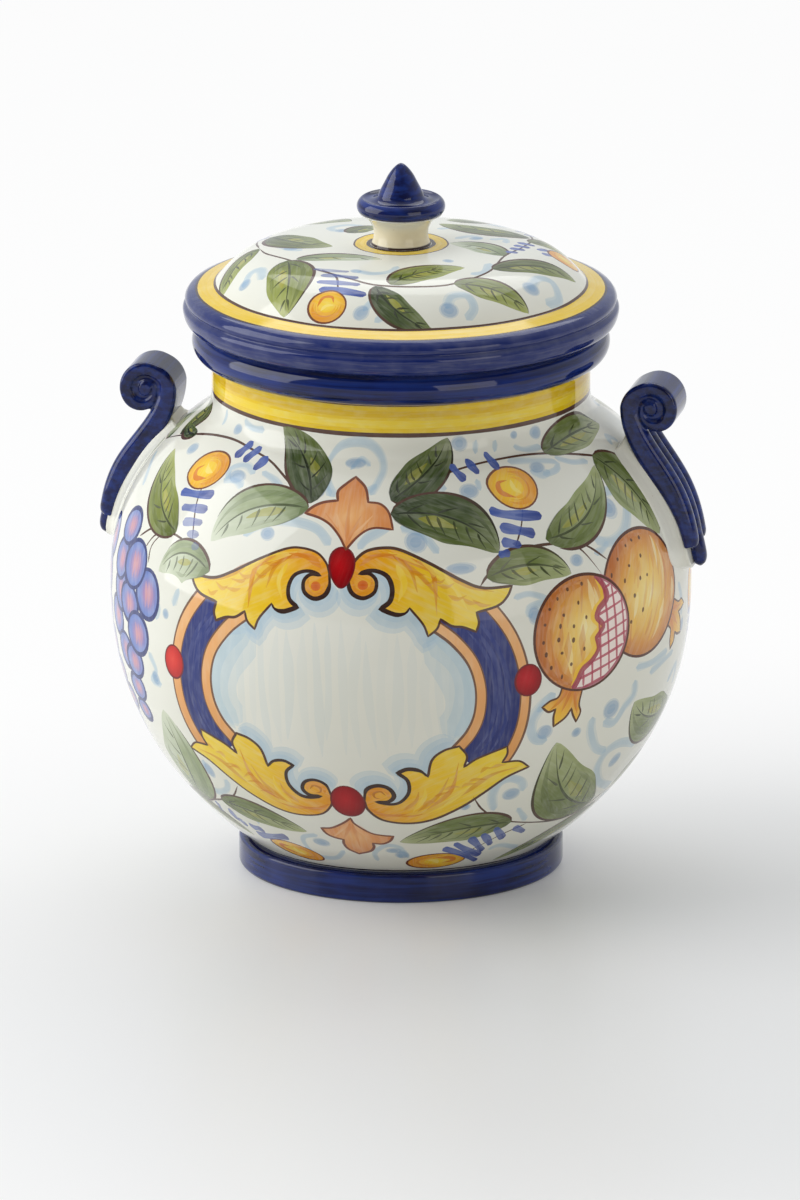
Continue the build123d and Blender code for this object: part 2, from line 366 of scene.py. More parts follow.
# ---------------------------------------------------------------- painted body
# The thrown pot: a floor, a round belly, a shoulder and a short neck in one wall of ivory tin glaze,
# painted freehand with fruit boughs and a scrolled cartouche before the last firing.
BELLY = 127.0
BELLY_HEIGHT = 131.0
SHOULDER_ARC = 85.5
SHOULDER_CENTRE = BELLY - SHOULDER_ARC
NECK = 82.6
NECK_TOP = 229.97
NECK_FILLET = 9.0
FLOOR_HEIGHT = foot_top
WALL = 6.5
SKIN_STEPS = 192
SEAM = math.pi / 2 * BELLY


def body_radius(z):
    if z <= BELLY_HEIGHT:
        return BELLY * (1 - ((BELLY_HEIGHT + 1 - z) / 150) ** 2.4) ** (1 / 1.3)
    fillet_out = NECK + NECK_FILLET
    fillet_up = BELLY_HEIGHT + math.sqrt((SHOULDER_ARC + NECK_FILLET) ** 2 - (fillet_out - SHOULDER_CENTRE) ** 2)
    share = SHOULDER_ARC / (SHOULDER_ARC + NECK_FILLET)
    if z <= BELLY_HEIGHT + (fillet_up - BELLY_HEIGHT) * share:
        return SHOULDER_CENTRE + math.sqrt(SHOULDER_ARC**2 - (z - BELLY_HEIGHT) ** 2)
    if z <= fillet_up:
        return fillet_out - math.sqrt(NECK_FILLET**2 - (fillet_up - z) ** 2)
    return NECK


def measured_profile(points):
    """a profile with its arc length and outward direction at each point"""
    p = np.array(points)
    length = np.concatenate(([0], np.cumsum(np.hypot(*np.diff(p, axis=0).T))))
    run = np.gradient(p, axis=0)
    run /= np.hypot(run[:, 0], run[:, 1])[:, None]
    return p, length, np.column_stack((run[:, 1], -run[:, 0]))


body_side, body_length, body_out = measured_profile(
    [(body_radius(z), z) for z in np.linspace(FLOOR_HEIGHT, NECK_TOP, 1800)]
)
SKIN_HEIGHT = body_length[-1]


def up_the_side(height):
    return np.interp(height, body_side[:, 1], body_length)


def spot(around, height, turn=0.0, flip=1):
    """a place on the jar, degrees round from the front and mm up: turns a motif's own mm into skin mm"""
    across, up = math.radians(around) * BELLY, float(up_the_side(height))
    c, s = math.cos(math.radians(turn)), math.sin(math.radians(turn))

    def at(points):
        p = np.asarray(points, float)
        x, y = p[:, 0], p[:, 1] * flip
        rise = up + s * x + c * y
        reach = np.interp(rise, body_length, body_side[:, 0])
        return np.column_stack((across + (c * x - s * y) * BELLY / reach, rise))

    return at


def span(a, b):
    """the ground between two places on the jar, for a motif that grows from one to the other"""
    up = up_the_side([a[1], b[1]])
    reach = np.interp(up.mean(), body_length, body_side[:, 0])
    dx, dy = math.radians(b[0] - a[0]) * reach, up[1] - up[0]
    return spot(*a, turn=math.degrees(math.atan2(dy, dx))), math.hypot(dx, dy)


hand = random.Random(11)
painting = []


def lay(outline, tone, lean=(1.0, 0.0), wet=0.3, fine=0.0, round_pot=False):
    """one patch of paint over what is already there"""
    if not callable(lean):
        lean = np.asarray(lean, float) / np.hypot(*lean)
    painting.append((np.asarray(outline, float), tone, lean, wet, fine, round_pot))


def flat(colour):
    return lambda p: np.tile(colour, (len(p), 1))


def shades(t, colours):
    stops = np.linspace(0, 1, len(colours))
    return np.column_stack([np.interp(t, stops, [c[k] for c in colours]) for k in range(4)])


def wash(at, a, b, *colours):
    """paint that changes from one point of a motif to another"""
    start, end = at([a, b])
    along = end - start
    return lambda p: shades(np.clip((p - start) @ along / (along @ along), 0, 1), colours)


def bloom(at, centre, rx, ry, *colours):
    """paint that changes from the middle of a motif to its edge"""
    c, x, y = at([centre, (centre[0] + rx, centre[1]), (centre[0], centre[1] + ry)])
    inward = np.linalg.inv(np.column_stack((x - c, y - c)))
    return lambda p: shades(np.clip(np.hypot(*((p - c) @ inward.T).T), 0, 1), colours)


def leaning(at, x, y, start=(0, 0)):
    """the way a brush moves on the skin when it moves by x and y in a motif"""
    a, b = at([start, (start[0] + x, start[1] + y)])
    return b - a


def curve(points, step=1.2):
    """a smooth line through a few points"""
    p = np.asarray(points, float)
    q = np.vstack((2 * p[0] - p[1], p, 2 * p[-1] - p[-2]))
    made = []
    for a, b, c, d in zip(q, q[1:], q[2:], q[3:]):
        t = np.linspace(0, 1, max(2, math.ceil(np.hypot(*(c - b)) / step)), endpoint=False)[:, None]
        made.append(0.5 * (2 * b + (c - a) * t + (2 * a - 5 * b + 4 * c - d) * t**2 + (3 * b - a - 3 * c + d) * t**3))
    return np.vstack((*made, p[-1]))


def corners(*runs, step=1.2):
    """an outline of smooth runs that meet in sharp corners"""
    return np.vstack([curve(run, step)[:-1] for run in runs])


def stroke(at, path, width, tone, taper=(0.0, 0.0), wet=0.15, closed=False):
    """one stroke of the brush along a path, with round ends or, where taper is given, pointed ones"""
    run = np.gradient(path, axis=0)
    if closed:
        run = np.roll(path, -1, axis=0) - np.roll(path, 1, axis=0)
        path, run = np.vstack((path, path[:1])), np.vstack((run, run[:1]))
    run /= np.maximum(np.hypot(run[:, 0], run[:, 1]), 1e-9)[:, None]
    side = np.column_stack((-run[:, 1], run[:, 0]))
    length = np.concatenate(([0], np.cumsum(np.hypot(*np.diff(path, axis=0).T))))
    s = length / length[-1]
    half = np.full(len(s), width / 2) * (1 + 0.16 * np.sin(s * hand.uniform(4, 9) + hand.uniform(0, 6)))
    if not closed:
        for t, point in ((s, taper[0]), (1 - s, taper[1])):
            if point:
                half *= np.clip(t / point, 0.04, 1) ** 0.7
            else:
                half *= np.sqrt(np.clip(1 - (1 - np.clip(t * length[-1] / (width / 2), 0, 1)) ** 2, 0.01, 1))
    outline = np.vstack((path + side * half[:, None], (path - side * half[:, None])[::-1]))
    middle = len(path) // 2
    here = at(path[[max(middle - 1, 0), min(middle + 1, len(path) - 1)]])
    lean = here[1] - here[0]
    lay(at(outline), tone, lean if np.hypot(*lean) > 1e-6 else (1, 0), wet)


def as_laid(points):
    return np.asarray(points, float)


def on_jar(places):
    """places on the jar, degrees round and mm up, as points of its skin"""
    return np.vstack([spot(*place)([(0, 0)]) for place in places])


UMBER = dye("54372a")
DARK_UMBER = dye("3a2620")
LEAF_GREENS = {
    "sage": ("444f1f", "626c31", "8f9a57", "2b3114"),
    "olive": ("58662c", "748243", "abb47e", "39421f"),
    "deep": ("2b3a16", "445424", "6c7a3e", "1d240c"),
    "pale": ("6a7b4e", "97a578", "d0d7c0", "4a5536"),
    "moss": ("56641c", "7b8630", "a6ae5a", "333a14"),
}


def leaf(ground, width, bend=0.12, side=1, veins=5, tint="sage", lined=(0.0, 1.0)):
    """a bay leaf in copper green: a watery wash, a paler half with brush-tip veins, one heavy edge"""
    at, length = ground
    dark, mid, light, vein = (dye(code) for code in LEAF_GREENS[tint])
    t = np.linspace(0, 1, max(16, int(length / 1.5)))
    rib = np.column_stack((length * t, side * bend * length * 4 * t * (1 - t)))
    run = np.gradient(rib, axis=0)
    run /= np.hypot(run[:, 0], run[:, 1])[:, None]
    out = np.column_stack((-run[:, 1], run[:, 0])) * side
    wide, narrow = width if isinstance(width, tuple) else (width / 2, width / 2)
    width = wide + narrow
    profile = np.sin(math.pi * t**0.84) ** 0.72
    upper = rib + out * (profile * wide * 0.98)[:, None]
    lower = rib - out * (profile * narrow * (1.02 + 0.05 * np.sin(t * 11 + length)))[:, None]
    lean = leaning(at, 1, 0)

    def thinned(colour, cover):
        return colour * (1, 1, 1, cover)

    def along(*colours):
        return wash(at, (0, 0), (length, 0), *colours)

    soft = thinned(light, 0.62)
    lay(at(np.vstack((upper, lower[-2:0:-1]))), along(dark, mid, mid, thinned(light, 0.88)), lean, 0.75, 3.2)
    lay(at(np.vstack((rib[2:-1], lower[-2:1:-1]))), along(thinned(mid, 0.2), soft, soft), lean, 0.8)
    stroke(at, (rib * 0.42 + upper * 0.58)[2:-2], width * 0.13, flat(thinned(dark, 0.45)), (0.3, 0.5), 0.6)
    sunny = dye("a9a63c", hand.uniform(0.45, 0.85))
    a, b = int(len(t) * hand.uniform(0.2, 0.32)), int(len(t) * hand.uniform(0.55, 0.7))
    stroke(at, (rib * 0.7 + lower * 0.3)[a:b], width * 0.2, flat(sunny), (0.35, 0.45), 0.8)
    shadow = (rib * 0.25 + lower * 0.75)[a + 1 : b + 2]
    stroke(at, shadow, width * 0.08, flat(thinned(dark, 0.35)), (0.3, 0.4), 0.7)
    for i in range(veins):
        n = int((0.17 + 0.60 * (i + hand.uniform(-0.2, 0.2)) / max(veins - 1, 1)) * (len(t) - 1))
        m = min(n + max(2, int(len(t) * 0.15)), len(t) - 3)
        for way, reach in ((-1, hand.uniform(0.7, 0.86)), (1, hand.uniform(0.45, 0.6))):
            if way == 1 and (i % 2 or tint in ("pale", "sage")):
                continue
            half = wide if way == 1 else narrow
            start = rib[n] + out[n] * way * half * profile[n] * 0.08
            end = rib[m] + out[m] * way * half * profile[m] * reach
            bow = (start + end) / 2 + run[n] * hand.uniform(-0.9, -0.1)
            nib = hand.uniform(0.9, 1.25)
            stroke(at, curve([start, bow, end], 1.4), nib, flat(thinned(vein, hand.uniform(0.7, 0.95))), (0.1, 0.7),
            0.4)
    stroke(at, rib[1:-2], 1.05, flat(thinned(vein, 0.9)), (0.1, 0.5), 0.3)
    a, b = (int(share * (len(t) - 1)) for share in lined)
    stroke(at, (upper + out * 0.25)[a : b + 1], 1.35, along(UMBER, UMBER, vein), (0.1, 0.4))
    stroke(at, lower[: int(len(t) * 0.4)], 0.7, flat(thinned(vein, 0.6)), (0.1, 0.7))


def ring(rx, ry, count, wobble=0.02, nib=0.0):
    """a hand-drawn oval, with a little nib on its right end where a lemon has one"""
    phase = hand.uniform(0, 6)
    a = np.linspace(0, math.tau, count, endpoint=False)
    swell = 1 + wobble * np.sin(2 * a + phase) + nib * np.maximum(0, np.cos(a)) ** 12
    return np.column_stack((rx * swell * np.cos(a), ry * swell * np.sin(a)))


def lemon(at, rx, ry):
    """a small lemon or orange: a yellow wash, orange brush turns round its side, and a thin outline"""
    edge = ring(rx, ry, 32, nib=0.07)
    yellows = dye("f8dc44"), dye("f5c930"), dye("e9a324")
    lay(at(edge), bloom(at, (rx * 0.1, 0), rx * 1.1, ry * 1.1, *yellows), leaning(at, 0.3, 1), 0.7, 2.2)
    a = np.radians(np.linspace(75, 285, 18))
    for share, wide, colour in (
        (0.76, 0.30, dye("e08428", 0.45)), (0.48, 0.18, dye("ee9f26", 0.45)), (0.62, 0.10, dye("cf5f1c", 0.35))
    ):
        path = np.column_stack((rx * share * np.cos(a), ry * share * np.sin(a)))
        stroke(at, path, rx * wide, flat(colour), (0.35, 0.4), 0.8)
    hook = curve([(-rx * 0.05, ry * 0.5), (rx * 0.52, ry * 0.34), (rx * 0.6, -ry * 0.1), (rx * 0.25, -ry * 0.3)], 0.8)
    stroke(at, hook, rx * 0.2, flat(dye("d96a20", 0.75)), (0.3, 0.4), 0.6)
    gleam = curve([(-rx * 0.3, ry * 0.25), (0, ry * 0.05), (rx * 0.1, -ry * 0.35)], 0.8)
    stroke(at, gleam, rx * 0.2, flat(dye("fae27c", 0.8)), (0.3, 0.4), 0.4)
    stroke(at, edge, 0.95, flat(dye("74432a")), closed=True)


def dash(path, width, strength=0.92):
    """one loaded dash of cobalt, darker where the brush lifts"""
    blues = dye("3f5ba9", strength), dye("4a66b2", strength * 0.93), dye("2c4391", strength)
    stroke(as_laid, path, width, wash(as_laid, path[0], path[-1], *blues), wet=0.75)
    stroke(as_laid, path[len(path) // 2 :], width * 0.5, flat(dye("2a3f8c", 0.35 * strength)), (0.3, 0.0), 0.7)


def sprig(at, count, widest, gap=5.2):
    """a fern frond: dashes across a hair-thin stem, shorter and paler as the brush empties"""
    hair = curve([(0, gap * 0.7), (0.5, -gap * count * 0.5), (-0.6, -gap * (count - 0.4))])
    stroke(at, hair, 0.8, flat(UMBER), (0, 0.5))
    for i in range(count):
        fade = i / max(count - 1, 1)
        reach = widest / 2 * (1 - 0.5 * fade) * hand.uniform(0.9, 1.08)
        y = -gap * i + hand.uniform(-0.4, 0.4)
        path = curve([(-reach, y + 0.6), (0, y - 0.5), (reach, y + hand.uniform(-0.6, 0.8))])
        dash(at(path), 3.6 - 0.6 * fade, 0.95 - 0.4 * fade)


def pairs(at, count, reach=4.6, gap=5.4):
    """short cobalt dashes set aslant across a stem that is already drawn"""
    for i in range(count):
        x = gap * (i - (count - 1) / 2)
        dash(at(curve([(x - reach * 0.42, -reach), (x, 0.2), (x + reach * 0.42, reach)])), 3.2)


def water(path, width):
    """a ribbon of thin blue wash with a soft edge"""
    for share, cover in ((1.25, 0.26), (1.0, 0.34), (0.62, 0.26)):
        stroke(as_laid, path, width * share, flat(dye("a9c4d6", cover)), wet=0.85)


def dab(at, rx, ry):
    """a blue drop that the brush left where it came down"""
    for share, cover in ((1.2, 0.3), (1.0, 0.45), (0.6, 0.35)):
        lay(at(ring(rx * share, ry * share, 16, 0.05)), flat(dye("82a5c6", cover)), wet=0.8)


def curl(at, radius, turns):
    """a curl of blue wash that ends in a drop"""
    t = np.linspace(0, 1, max(12, int(radius * turns * 3)))
    r, a = radius * (1 - 0.55 * t**1.4), math.tau * turns * t
    path = np.column_stack((r * np.cos(a), r * np.sin(a)))
    water(at(path), 3.2)
    dab(lambda p: at(np.asarray(p) + path[-1]), radius * 0.34 + 0.8, radius * 0.27 + 0.6)


def stem(places, width):
    """a bough drawn with a fine brush through places on the jar"""
    stroke(as_laid, curve(on_jar(places), 2.2), width, flat(UMBER), (0.05, 0.3))


def grape(at, rx, ry):
    """one grape: violet blue, rosy where it catches the light, ringed in cobalt"""
    edge = ring(rx, ry, 26, 0.03)
    violets = dye("c58f9e"), dye("b389ae"), dye("8c84b8"), dye("758bc6"), dye("5a72b8")
    lay(at(edge), bloom(at, (rx * 0.1, 0), rx, ry, *violets), leaning(at, 0, 1), 0.85, 2.0)
    for x, cover in ((-0.12, 0.75), (0.14, 0.6), (0.34, 0.3)):
        path = curve([(x * rx, ry * 0.52), ((x + 0.08) * rx, 0), ((x - 0.02) * rx, -ry * 0.55)], 1.4)
        stroke(at, path, rx * 0.2, flat(dye("d39c9c", cover * 0.8)), (0.35, 0.45), 0.8)
    stroke(at, edge * 0.97, 1.9, flat(dye("27336e", 0.97)), closed=True, wet=0.4)


def inside(points, outline):
    """which points lie within a closed outline, counted by how often it winds round them"""
    x, y = points[:, 0][:, None], points[:, 1][:, None]
    a, b = outline, np.roll(outline, -1, axis=0)
    side = (b[:, 0] - a[:, 0]) * (y - a[:, 1]) - (x - a[:, 0]) * (b[:, 1] - a[:, 1])
    rising = (a[:, 1] <= y) & (b[:, 1] > y) & (side > 0)
    falling = (a[:, 1] > y) & (b[:, 1] <= y) & (side < 0)
    return (rising.sum(1) - falling.sum(1)) != 0


CROWN_LOBES = [
    (-2, 5.6), (5.5, 6.4), (9.2, 8.8), (14, 8.4), (10.8, 5), (8, 3), (12.4, 1.4), (17, -3), (12.6, -5),
    (9, -5.4), (10.6, -8.6), (8.8, -12.6), (5.6, -9.6), (3.4, -6), (-2, -5.6),
]
SPLIT_BAYS = [
    (0.22, 0.95), (0.40, 0.74), (0.46, 0.54), (0.28, 0.38), (0.23, 0.24), (0.38, 0.08),
    (0.24, -0.10), (0.30, -0.30), (0.18, -0.48), (0.0, -0.62), (-0.08, -0.80), (-0.16, -0.95),
]


def pomegranate(at, radius, tall=1.0, split=True, crown=-90.0):
    """a pomegranate in broken orange and yellow, rows of brown dots, and a split that shows its seeds"""
    edge = ring(radius, radius * tall, 60, 0.012)
    lean = leaning(at, 0.2, 1)
    a = math.radians(crown)
    foot = np.array((radius * math.cos(a), radius * tall * math.sin(a)))
    run, side = np.array((math.cos(a), math.sin(a))), np.array((-math.sin(a), math.cos(a)))
    r = radius / 26
    lobes = [foot + run * x * r + side * y * r for x, y in CROWN_LOBES]
    petals = corners(
        lobes[0:4], lobes[3:6], lobes[5:8], lobes[7:10], lobes[9:12], lobes[11:15], lobes[14:] + lobes[:1]
    )
    golds = dye("d98a30"), dye("efb93a"), dye("f4d04e")
    lay(at(petals), wash(at, foot, foot + run * 18 * r, *golds), leaning(at, *run, foot), 0.8, 2.4)
    for y in (-5.6, -1.2, 4.8):
        rib = [foot + side * y * 0.4]
        rib += [foot + (run * away + side * y * spread) * r for away, spread in ((5, 0.8), (10, 1.5))]
        stroke(at, curve(rib), 1.9 * r, flat(dye("d4731f", 0.55)), (0.2, 0.6), 0.8)
    stroke(at, petals, 1.0, flat(dye("61402a")), closed=True)
    skins = dye("f7e6a0"), dye("f3d57c"), dye("ecc05e"), dye("df9f48"), dye("c67a38")
    lay(at(edge), bloom(at, (radius * 0.05, 0), radius * 1.02, radius * tall * 1.02, *skins), lean, 0.9, 2.5)
    a = np.radians(np.linspace(95, 262, 24))
    for share, wide, cover in ((0.90, 0.20, 0.30), (0.82, 0.30, 0.16)):
        path = radius * share * np.column_stack((np.cos(a), tall * np.sin(a)))
        stroke(at, path, radius * wide, flat(dye("b9602a", cover)), (0.4, 0.5), 0.85)
    broken = dye("cb7430", 0.38), dye("faecb4", 0.55), dye("f2c850", 0.5), dye("e09a44", 0.4)
    for i in range(34):
        x = hand.uniform(-0.86, 0.9)
        low = hand.uniform(-0.86, 0.42)
        y = np.linspace(low, min(low + hand.uniform(0.35, 0.8), 0.9), 9)
        path = radius * np.column_stack((x * np.sqrt(1 - y**2), tall * y))
        colour = broken[i % 4 if x > -0.45 else 3 * (i % 2)]
        stroke(at, path, radius * hand.uniform(0.06, 0.15), flat(colour), (0.5, 0.5), 0.85)
    for share, first, last, count in ((0.84, 98, 236, 9), (0.56, 108, 246, 6), (0.27, 84, 262, 4)):
        for k in range(count):
            a = math.radians(first + (last - first) * (k + hand.uniform(-0.25, 0.25)) / (count - 1))
            x, y = share * math.cos(a) + hand.uniform(-0.03, 0.03), share * math.sin(a) * tall
            dot = ring(hand.uniform(0.6, 0.9), hand.uniform(0.7, 1.3), 9) + (radius * x, radius * y)
            lay(at(dot), flat(dye("5d3822", 0.92)))
    if split:
        bays = radius * np.array(SPLIT_BAYS)
        inner = np.vstack((corners(bays[0:4], bays[3:7], step=0.9), curve(bays[6:], 0.9)))
        a = np.radians(np.linspace(-98, 74, 40))
        back = radius * np.column_stack((np.cos(a) * 0.985, tall * np.sin(a) * 0.975))
        mouth = np.vstack((inner, back))
        stroke(at, (inner - (2.1, 0))[4:-3], 3.6, flat(dye("f2c52e", 0.85)), (0.15, 0.15), 0.5)
        lay(at(mouth), flat(dye("f3e4de")), lean, 0.3, 3.0)
        across = [((-1.2, i * 0.19 - 0.384), (1.2, i * 0.19 + 0.384)) for i in range(-12, 14)]
        upright = [((i * 0.19 + 0.1, -1.2), (i * 0.19 - 0.25, 1.2)) for i in range(-12, 14)]
        for first, last in across + upright:
            line = np.linspace(first, last, 90) * radius
            line = line[inside(line, mouth * 0.985)]
            if len(line) > 3:
                stroke(at, np.vstack((line[:-1:2], line[-1:])), 1.15, flat(dye("b84a5f", 0.88)), wet=0.4)
        stroke(at, inner, 2.6, flat(dye("a63a50", 0.92)), wet=0.5)
        stroke(at, back, 2.2, flat(dye("a8415a", 0.85)), wet=0.5)
    stroke(at, edge, 1.25, flat(dye("5a3526")), closed=True)


def lily(at, *runs):
    """a three-petalled lily in peach, the stop at the top and bottom of the cartouche"""
    outline = corners(*runs)
    peaches = dye("efb878"), dye("e8a766"), dye("df9656"), dye("d98a4a")
    lay(at(outline), bloom(at, (0, 15), 21, 18, *peaches), leaning(at, 0, 1), 0.85, 2.4)
    for x in (-11, -6, -1, 5, 10):
        path = curve([(x * 0.15, 4), (x * 0.55, 10), (x, 24 if abs(x) < 3 else 16)])
        colour = dye("d6803e", 0.35) if x % 2 else dye("f3c795", 0.45)
        stroke(at, path, hand.uniform(1.6, 2.6), flat(colour), (0.25, 0.6), 0.85)
    stroke(at, outline, 1.15, flat(dye("7a4430")), closed=True)


# The glazed ground shows through the painting wherever the brush left it bare. The wheel-painted bands
# come first: a yellow band between two brown lines round the neck, and a line above the foot.
IVORY = dye("e6e6db")
BARE = (*IVORY[:3], 0.0)
columns = np.linspace(SEAM - math.tau * BELLY, SEAM, SKIN_STEPS + 1)


def band(low, high, colour, wet=0.5):
    """a band painted while the pot turns, from one height on the skin to another"""

    def wave(k, size):
        return size * np.sin(k * columns / BELLY + k)

    lower = np.column_stack((columns, low + wave(5, 0.10) + wave(13, 0.05)))
    upper = np.column_stack((columns, high + wave(7, 0.10) + wave(11, 0.05)))
    lay(np.vstack((lower, upper[::-1])), flat(colour), (1, 0), wet, 0.0, True)


NECK_LINE = float(up_the_side(214.6))
band(NECK_LINE, NECK_LINE + 13.4, dye("eac800"), 0.8)
band(NECK_LINE + 3.0, NECK_LINE + 6.4, dye("f8e24c", 0.5), 0.9)
band(NECK_LINE + 7.8, NECK_LINE + 10.6, dye("d4a808", 0.4), 0.9)
band(NECK_LINE - 1.0, NECK_LINE + 0.9, UMBER, 0.25)
band(NECK_LINE + 12.8, NECK_LINE + 13.7, UMBER, 0.1)
band(1.2, 2.4, DARK_UMBER, 0.1)

# Ribbons and drops of thin blue fill the ground behind everything else.
for width, places in [
    (3.8, [(-4.3, 191.3), (-7.4, 197.3), (-8.8, 203.1), (-6.8, 208.3), (-2.2, 211.1), (2.8, 210.5), (6.2, 205.8),
        (7.2, 201.3), (6, 197), (4.5, 192.6)]),
    (2.6, [(-1.9, 200.8), (0.4, 204.5), (3.5, 202.3)]),
    (3, [(-35.6, 191.3), (-36.5, 195.2), (-32.6, 197.3), (-28.3, 195.4)]), (3, [(-53.9, 213.2), (-55.3, 205.7)]),
    (3, [(-43.3, 211.5), (-38.7, 209.7), (-33.7, 210.4)]), (3, [(-26.5, 196.5), (-21.4, 194.4), (-16.7, 190)]),
    (3, [(-66.9, 175.7), (-70.1, 180.4), (-75.9, 186.3)]), (3.2, [(35.2, 210.9), (34.2, 205.2)]),
    (3, [(41.7, 209.7), (40.4, 205.1)]), (3, [(47.2, 205.9), (51.3, 203.9), (56.8, 204)]),
    (3, [(58, 199.7), (62.6, 196.9), (68.1, 195.6)]),
    (3, [(42.8, 201.5), (48.9, 200.7), (57, 198.5), (55.9, 196), (50.8, 195.2)]),
    (3, [(17.1, 194.3), (20.2, 195.5), (23.6, 194.7)]), (3, [(31.9, 197.2), (32, 193.1)]),
    (3.6, [(83.3, 196.5), (86, 198.8), (88.6, 196)]), (3.4, [(11.8, 181.4), (16.7, 178.2), (20, 171)]),
    (2.8, [(34.9, 150.7), (38.5, 151.6), (42, 148.1), (38.2, 145.6), (38.5, 141.2)]),
    (4.6, [(65.1, 184), (69.8, 183.3), (71.3, 177.3), (66.9, 168.3), (61.7, 165.7), (56.9, 168.2)]),
    (2.8, [(55.8, 163), (58.2, 163.7), (60.7, 166.1)]), (3.4, [(47.7, 197.4), (50.5, 195.4), (53.6, 196.1)]),
    (3.2, [(84.1, 136.7), (86, 128.3), (86.3, 120)]), (3.2, [(66.2, 107.8), (72.1, 107), (79, 108.7)]),
    (4.4, [(44.2, 105.5), (41.5, 101.2), (39.5, 95.1), (39.5, 89.1), (40.9, 84.6), (43.7, 83.4)]),
    (3, [(71.8, 102.5), (76.6, 104.5), (82.6, 106.6)]), (3, [(13, 165.7), (16, 167.2)]),
    (3.2, [(85.5, 170.5), (84.2, 165.1), (82.9, 157.9)]),
    (4.2, [(66.4, 102), (66.8, 95), (64.3, 90.4), (62, 84.3), (58.3, 86.5)]),
    (4.2, [(54.7, 90.3), (55.3, 82.6), (58.4, 73.7), (62.5, 69.8)]),
    (4.6, [(76.1, 66.7), (68.1, 71.4), (63.1, 69.5), (62.4, 61.5), (67.2, 52.2), (77, 45.5)]),
    (4.2, [(35.1, 49.3), (33.4, 57.3), (34, 63.9), (36.5, 66.2), (39.7, 63.8), (41.1, 58.3)]),
    (2.8, [(41.5, 48.9), (46.4, 40.4)]), (3.4, [(39.9, 25), (43.6, 26.5), (52.4, 22.5)]),
    (2.2, [(26.7, 53.5), (28.2, 53.8)]), (3, [(12.6, 28.7), (14.3, 23.2)]), (2.6, [(42.4, 101.3), (40.2, 98)]),
    (3.4, [(-5.3, 26.6), (-9.7, 21), (-16.6, 20.8), (-17.9, 27), (-16.5, 32.5), (-11.5, 35)]),
    (3.2, [(4.5, 20.9), (4.1, 26.4), (7.9, 31.3), (12.1, 29.4), (11.7, 23.2)]), (3.2, [(-37.3, 66.3), (-39, 58.1)]),
    (3.6, [(-42, 50), (-38, 49.5), (-33.8, 53), (-31.9, 58.6)]), (2.2, [(-30.7, 35.1), (-29.7, 40.1)]),
    (4.0, [(-3.3, 173.5), (-6.7, 179.1), (-11.7, 181), (-17.5, 180.6), (-21.4, 177.1), (-24, 172.9)]),
    (4.0, [(2.8, 172.6), (4.9, 177.3), (9.6, 181.8)]), (3, [(-8.3, 197.2), (-5.4, 191.4)]),
    (3, [(5.9, 196.4), (3, 193.2)]), (3.2, [(-36.6, 191.1), (-32.7, 191.5), (-29.5, 190.2)]),
    (3, [(-48.3, 111.8), (-46.1, 104.5), (-48.3, 98.8), (-44.6, 98.9)]), (3, [(-43.6, 135.9), (-44.9, 128.2)]),
    (3, [(-34.5, 159.6), (-30.6, 156.2)]), (3, [(-37.9, 145.5), (-39.2, 137.2)]),
    (3.4, [(-70, 70), (-76, 74), (-80, 66), (-76, 58)]), (3.4, [(-80, 120), (-84, 128), (-89, 122), (-87, 112)]),
    (3.2, [(82.5, 92), (86.5, 98), (88, 88)]), (3.6, [(80, 72), (84.5, 75), (88, 71)]),
]:
    water(curve(on_jar(places), 1.7), width)
for around, height, rx, ry in [
    (-0.9, 203, 4.2, 2.6), (-56.7, 195.9, 3.4, 2.8), (-33.1, 193.1, 4.4, 3), (-8.2, 192.4, 1.8, 1.8),
    (-45.8, 207, 2.6, 2.2), (29.7, 210, 3.2, 3), (56.6, 209.6, 3, 2.6), (48.2, 210.6, 1.6, 1.6),
    (50.5, 198, 3.6, 2.6), (29.1, 193.3, 4, 3.2), (64.7, 178.4, 4.8, 4.6), (15.2, 175.6, 4.2, 4.2),
    (24.4, 164.6, 6, 2.2), (39.2, 142.3, 2.8, 3.4), (84.6, 165.8, 2.2, 4.4), (42.7, 87.6, 3.4, 3.2),
    (51, 84.4, 2.2, 2.2), (50.8, 162, 3, 2.4), (60, 91.6, 4.4, 4.4), (38.1, 57.6, 3.8, 3.2), (68.6, 62.6, 3.6, 3.4),
    (27.3, 53.1, 2, 2), (12.3, 25.4, 2.6, 3.2), (-11.5, 30.6, 3.6, 3), (9.9, 28.1, 3, 2.2), (-36.8, 61.3, 2.4, 4),
    (-18.2, 175.3, 3, 2.8), (-46.6, 100.6, 2.8, 2.8), (-41.5, 132.6, 2, 2), (-76, 68, 3, 3), (-86, 119, 3, 3),
    (87, 116, 2.4, 3), (-50, 60, 2, 3), (80, 40, 3, 2),
]:
    dab(spot(around, height), rx, ry)

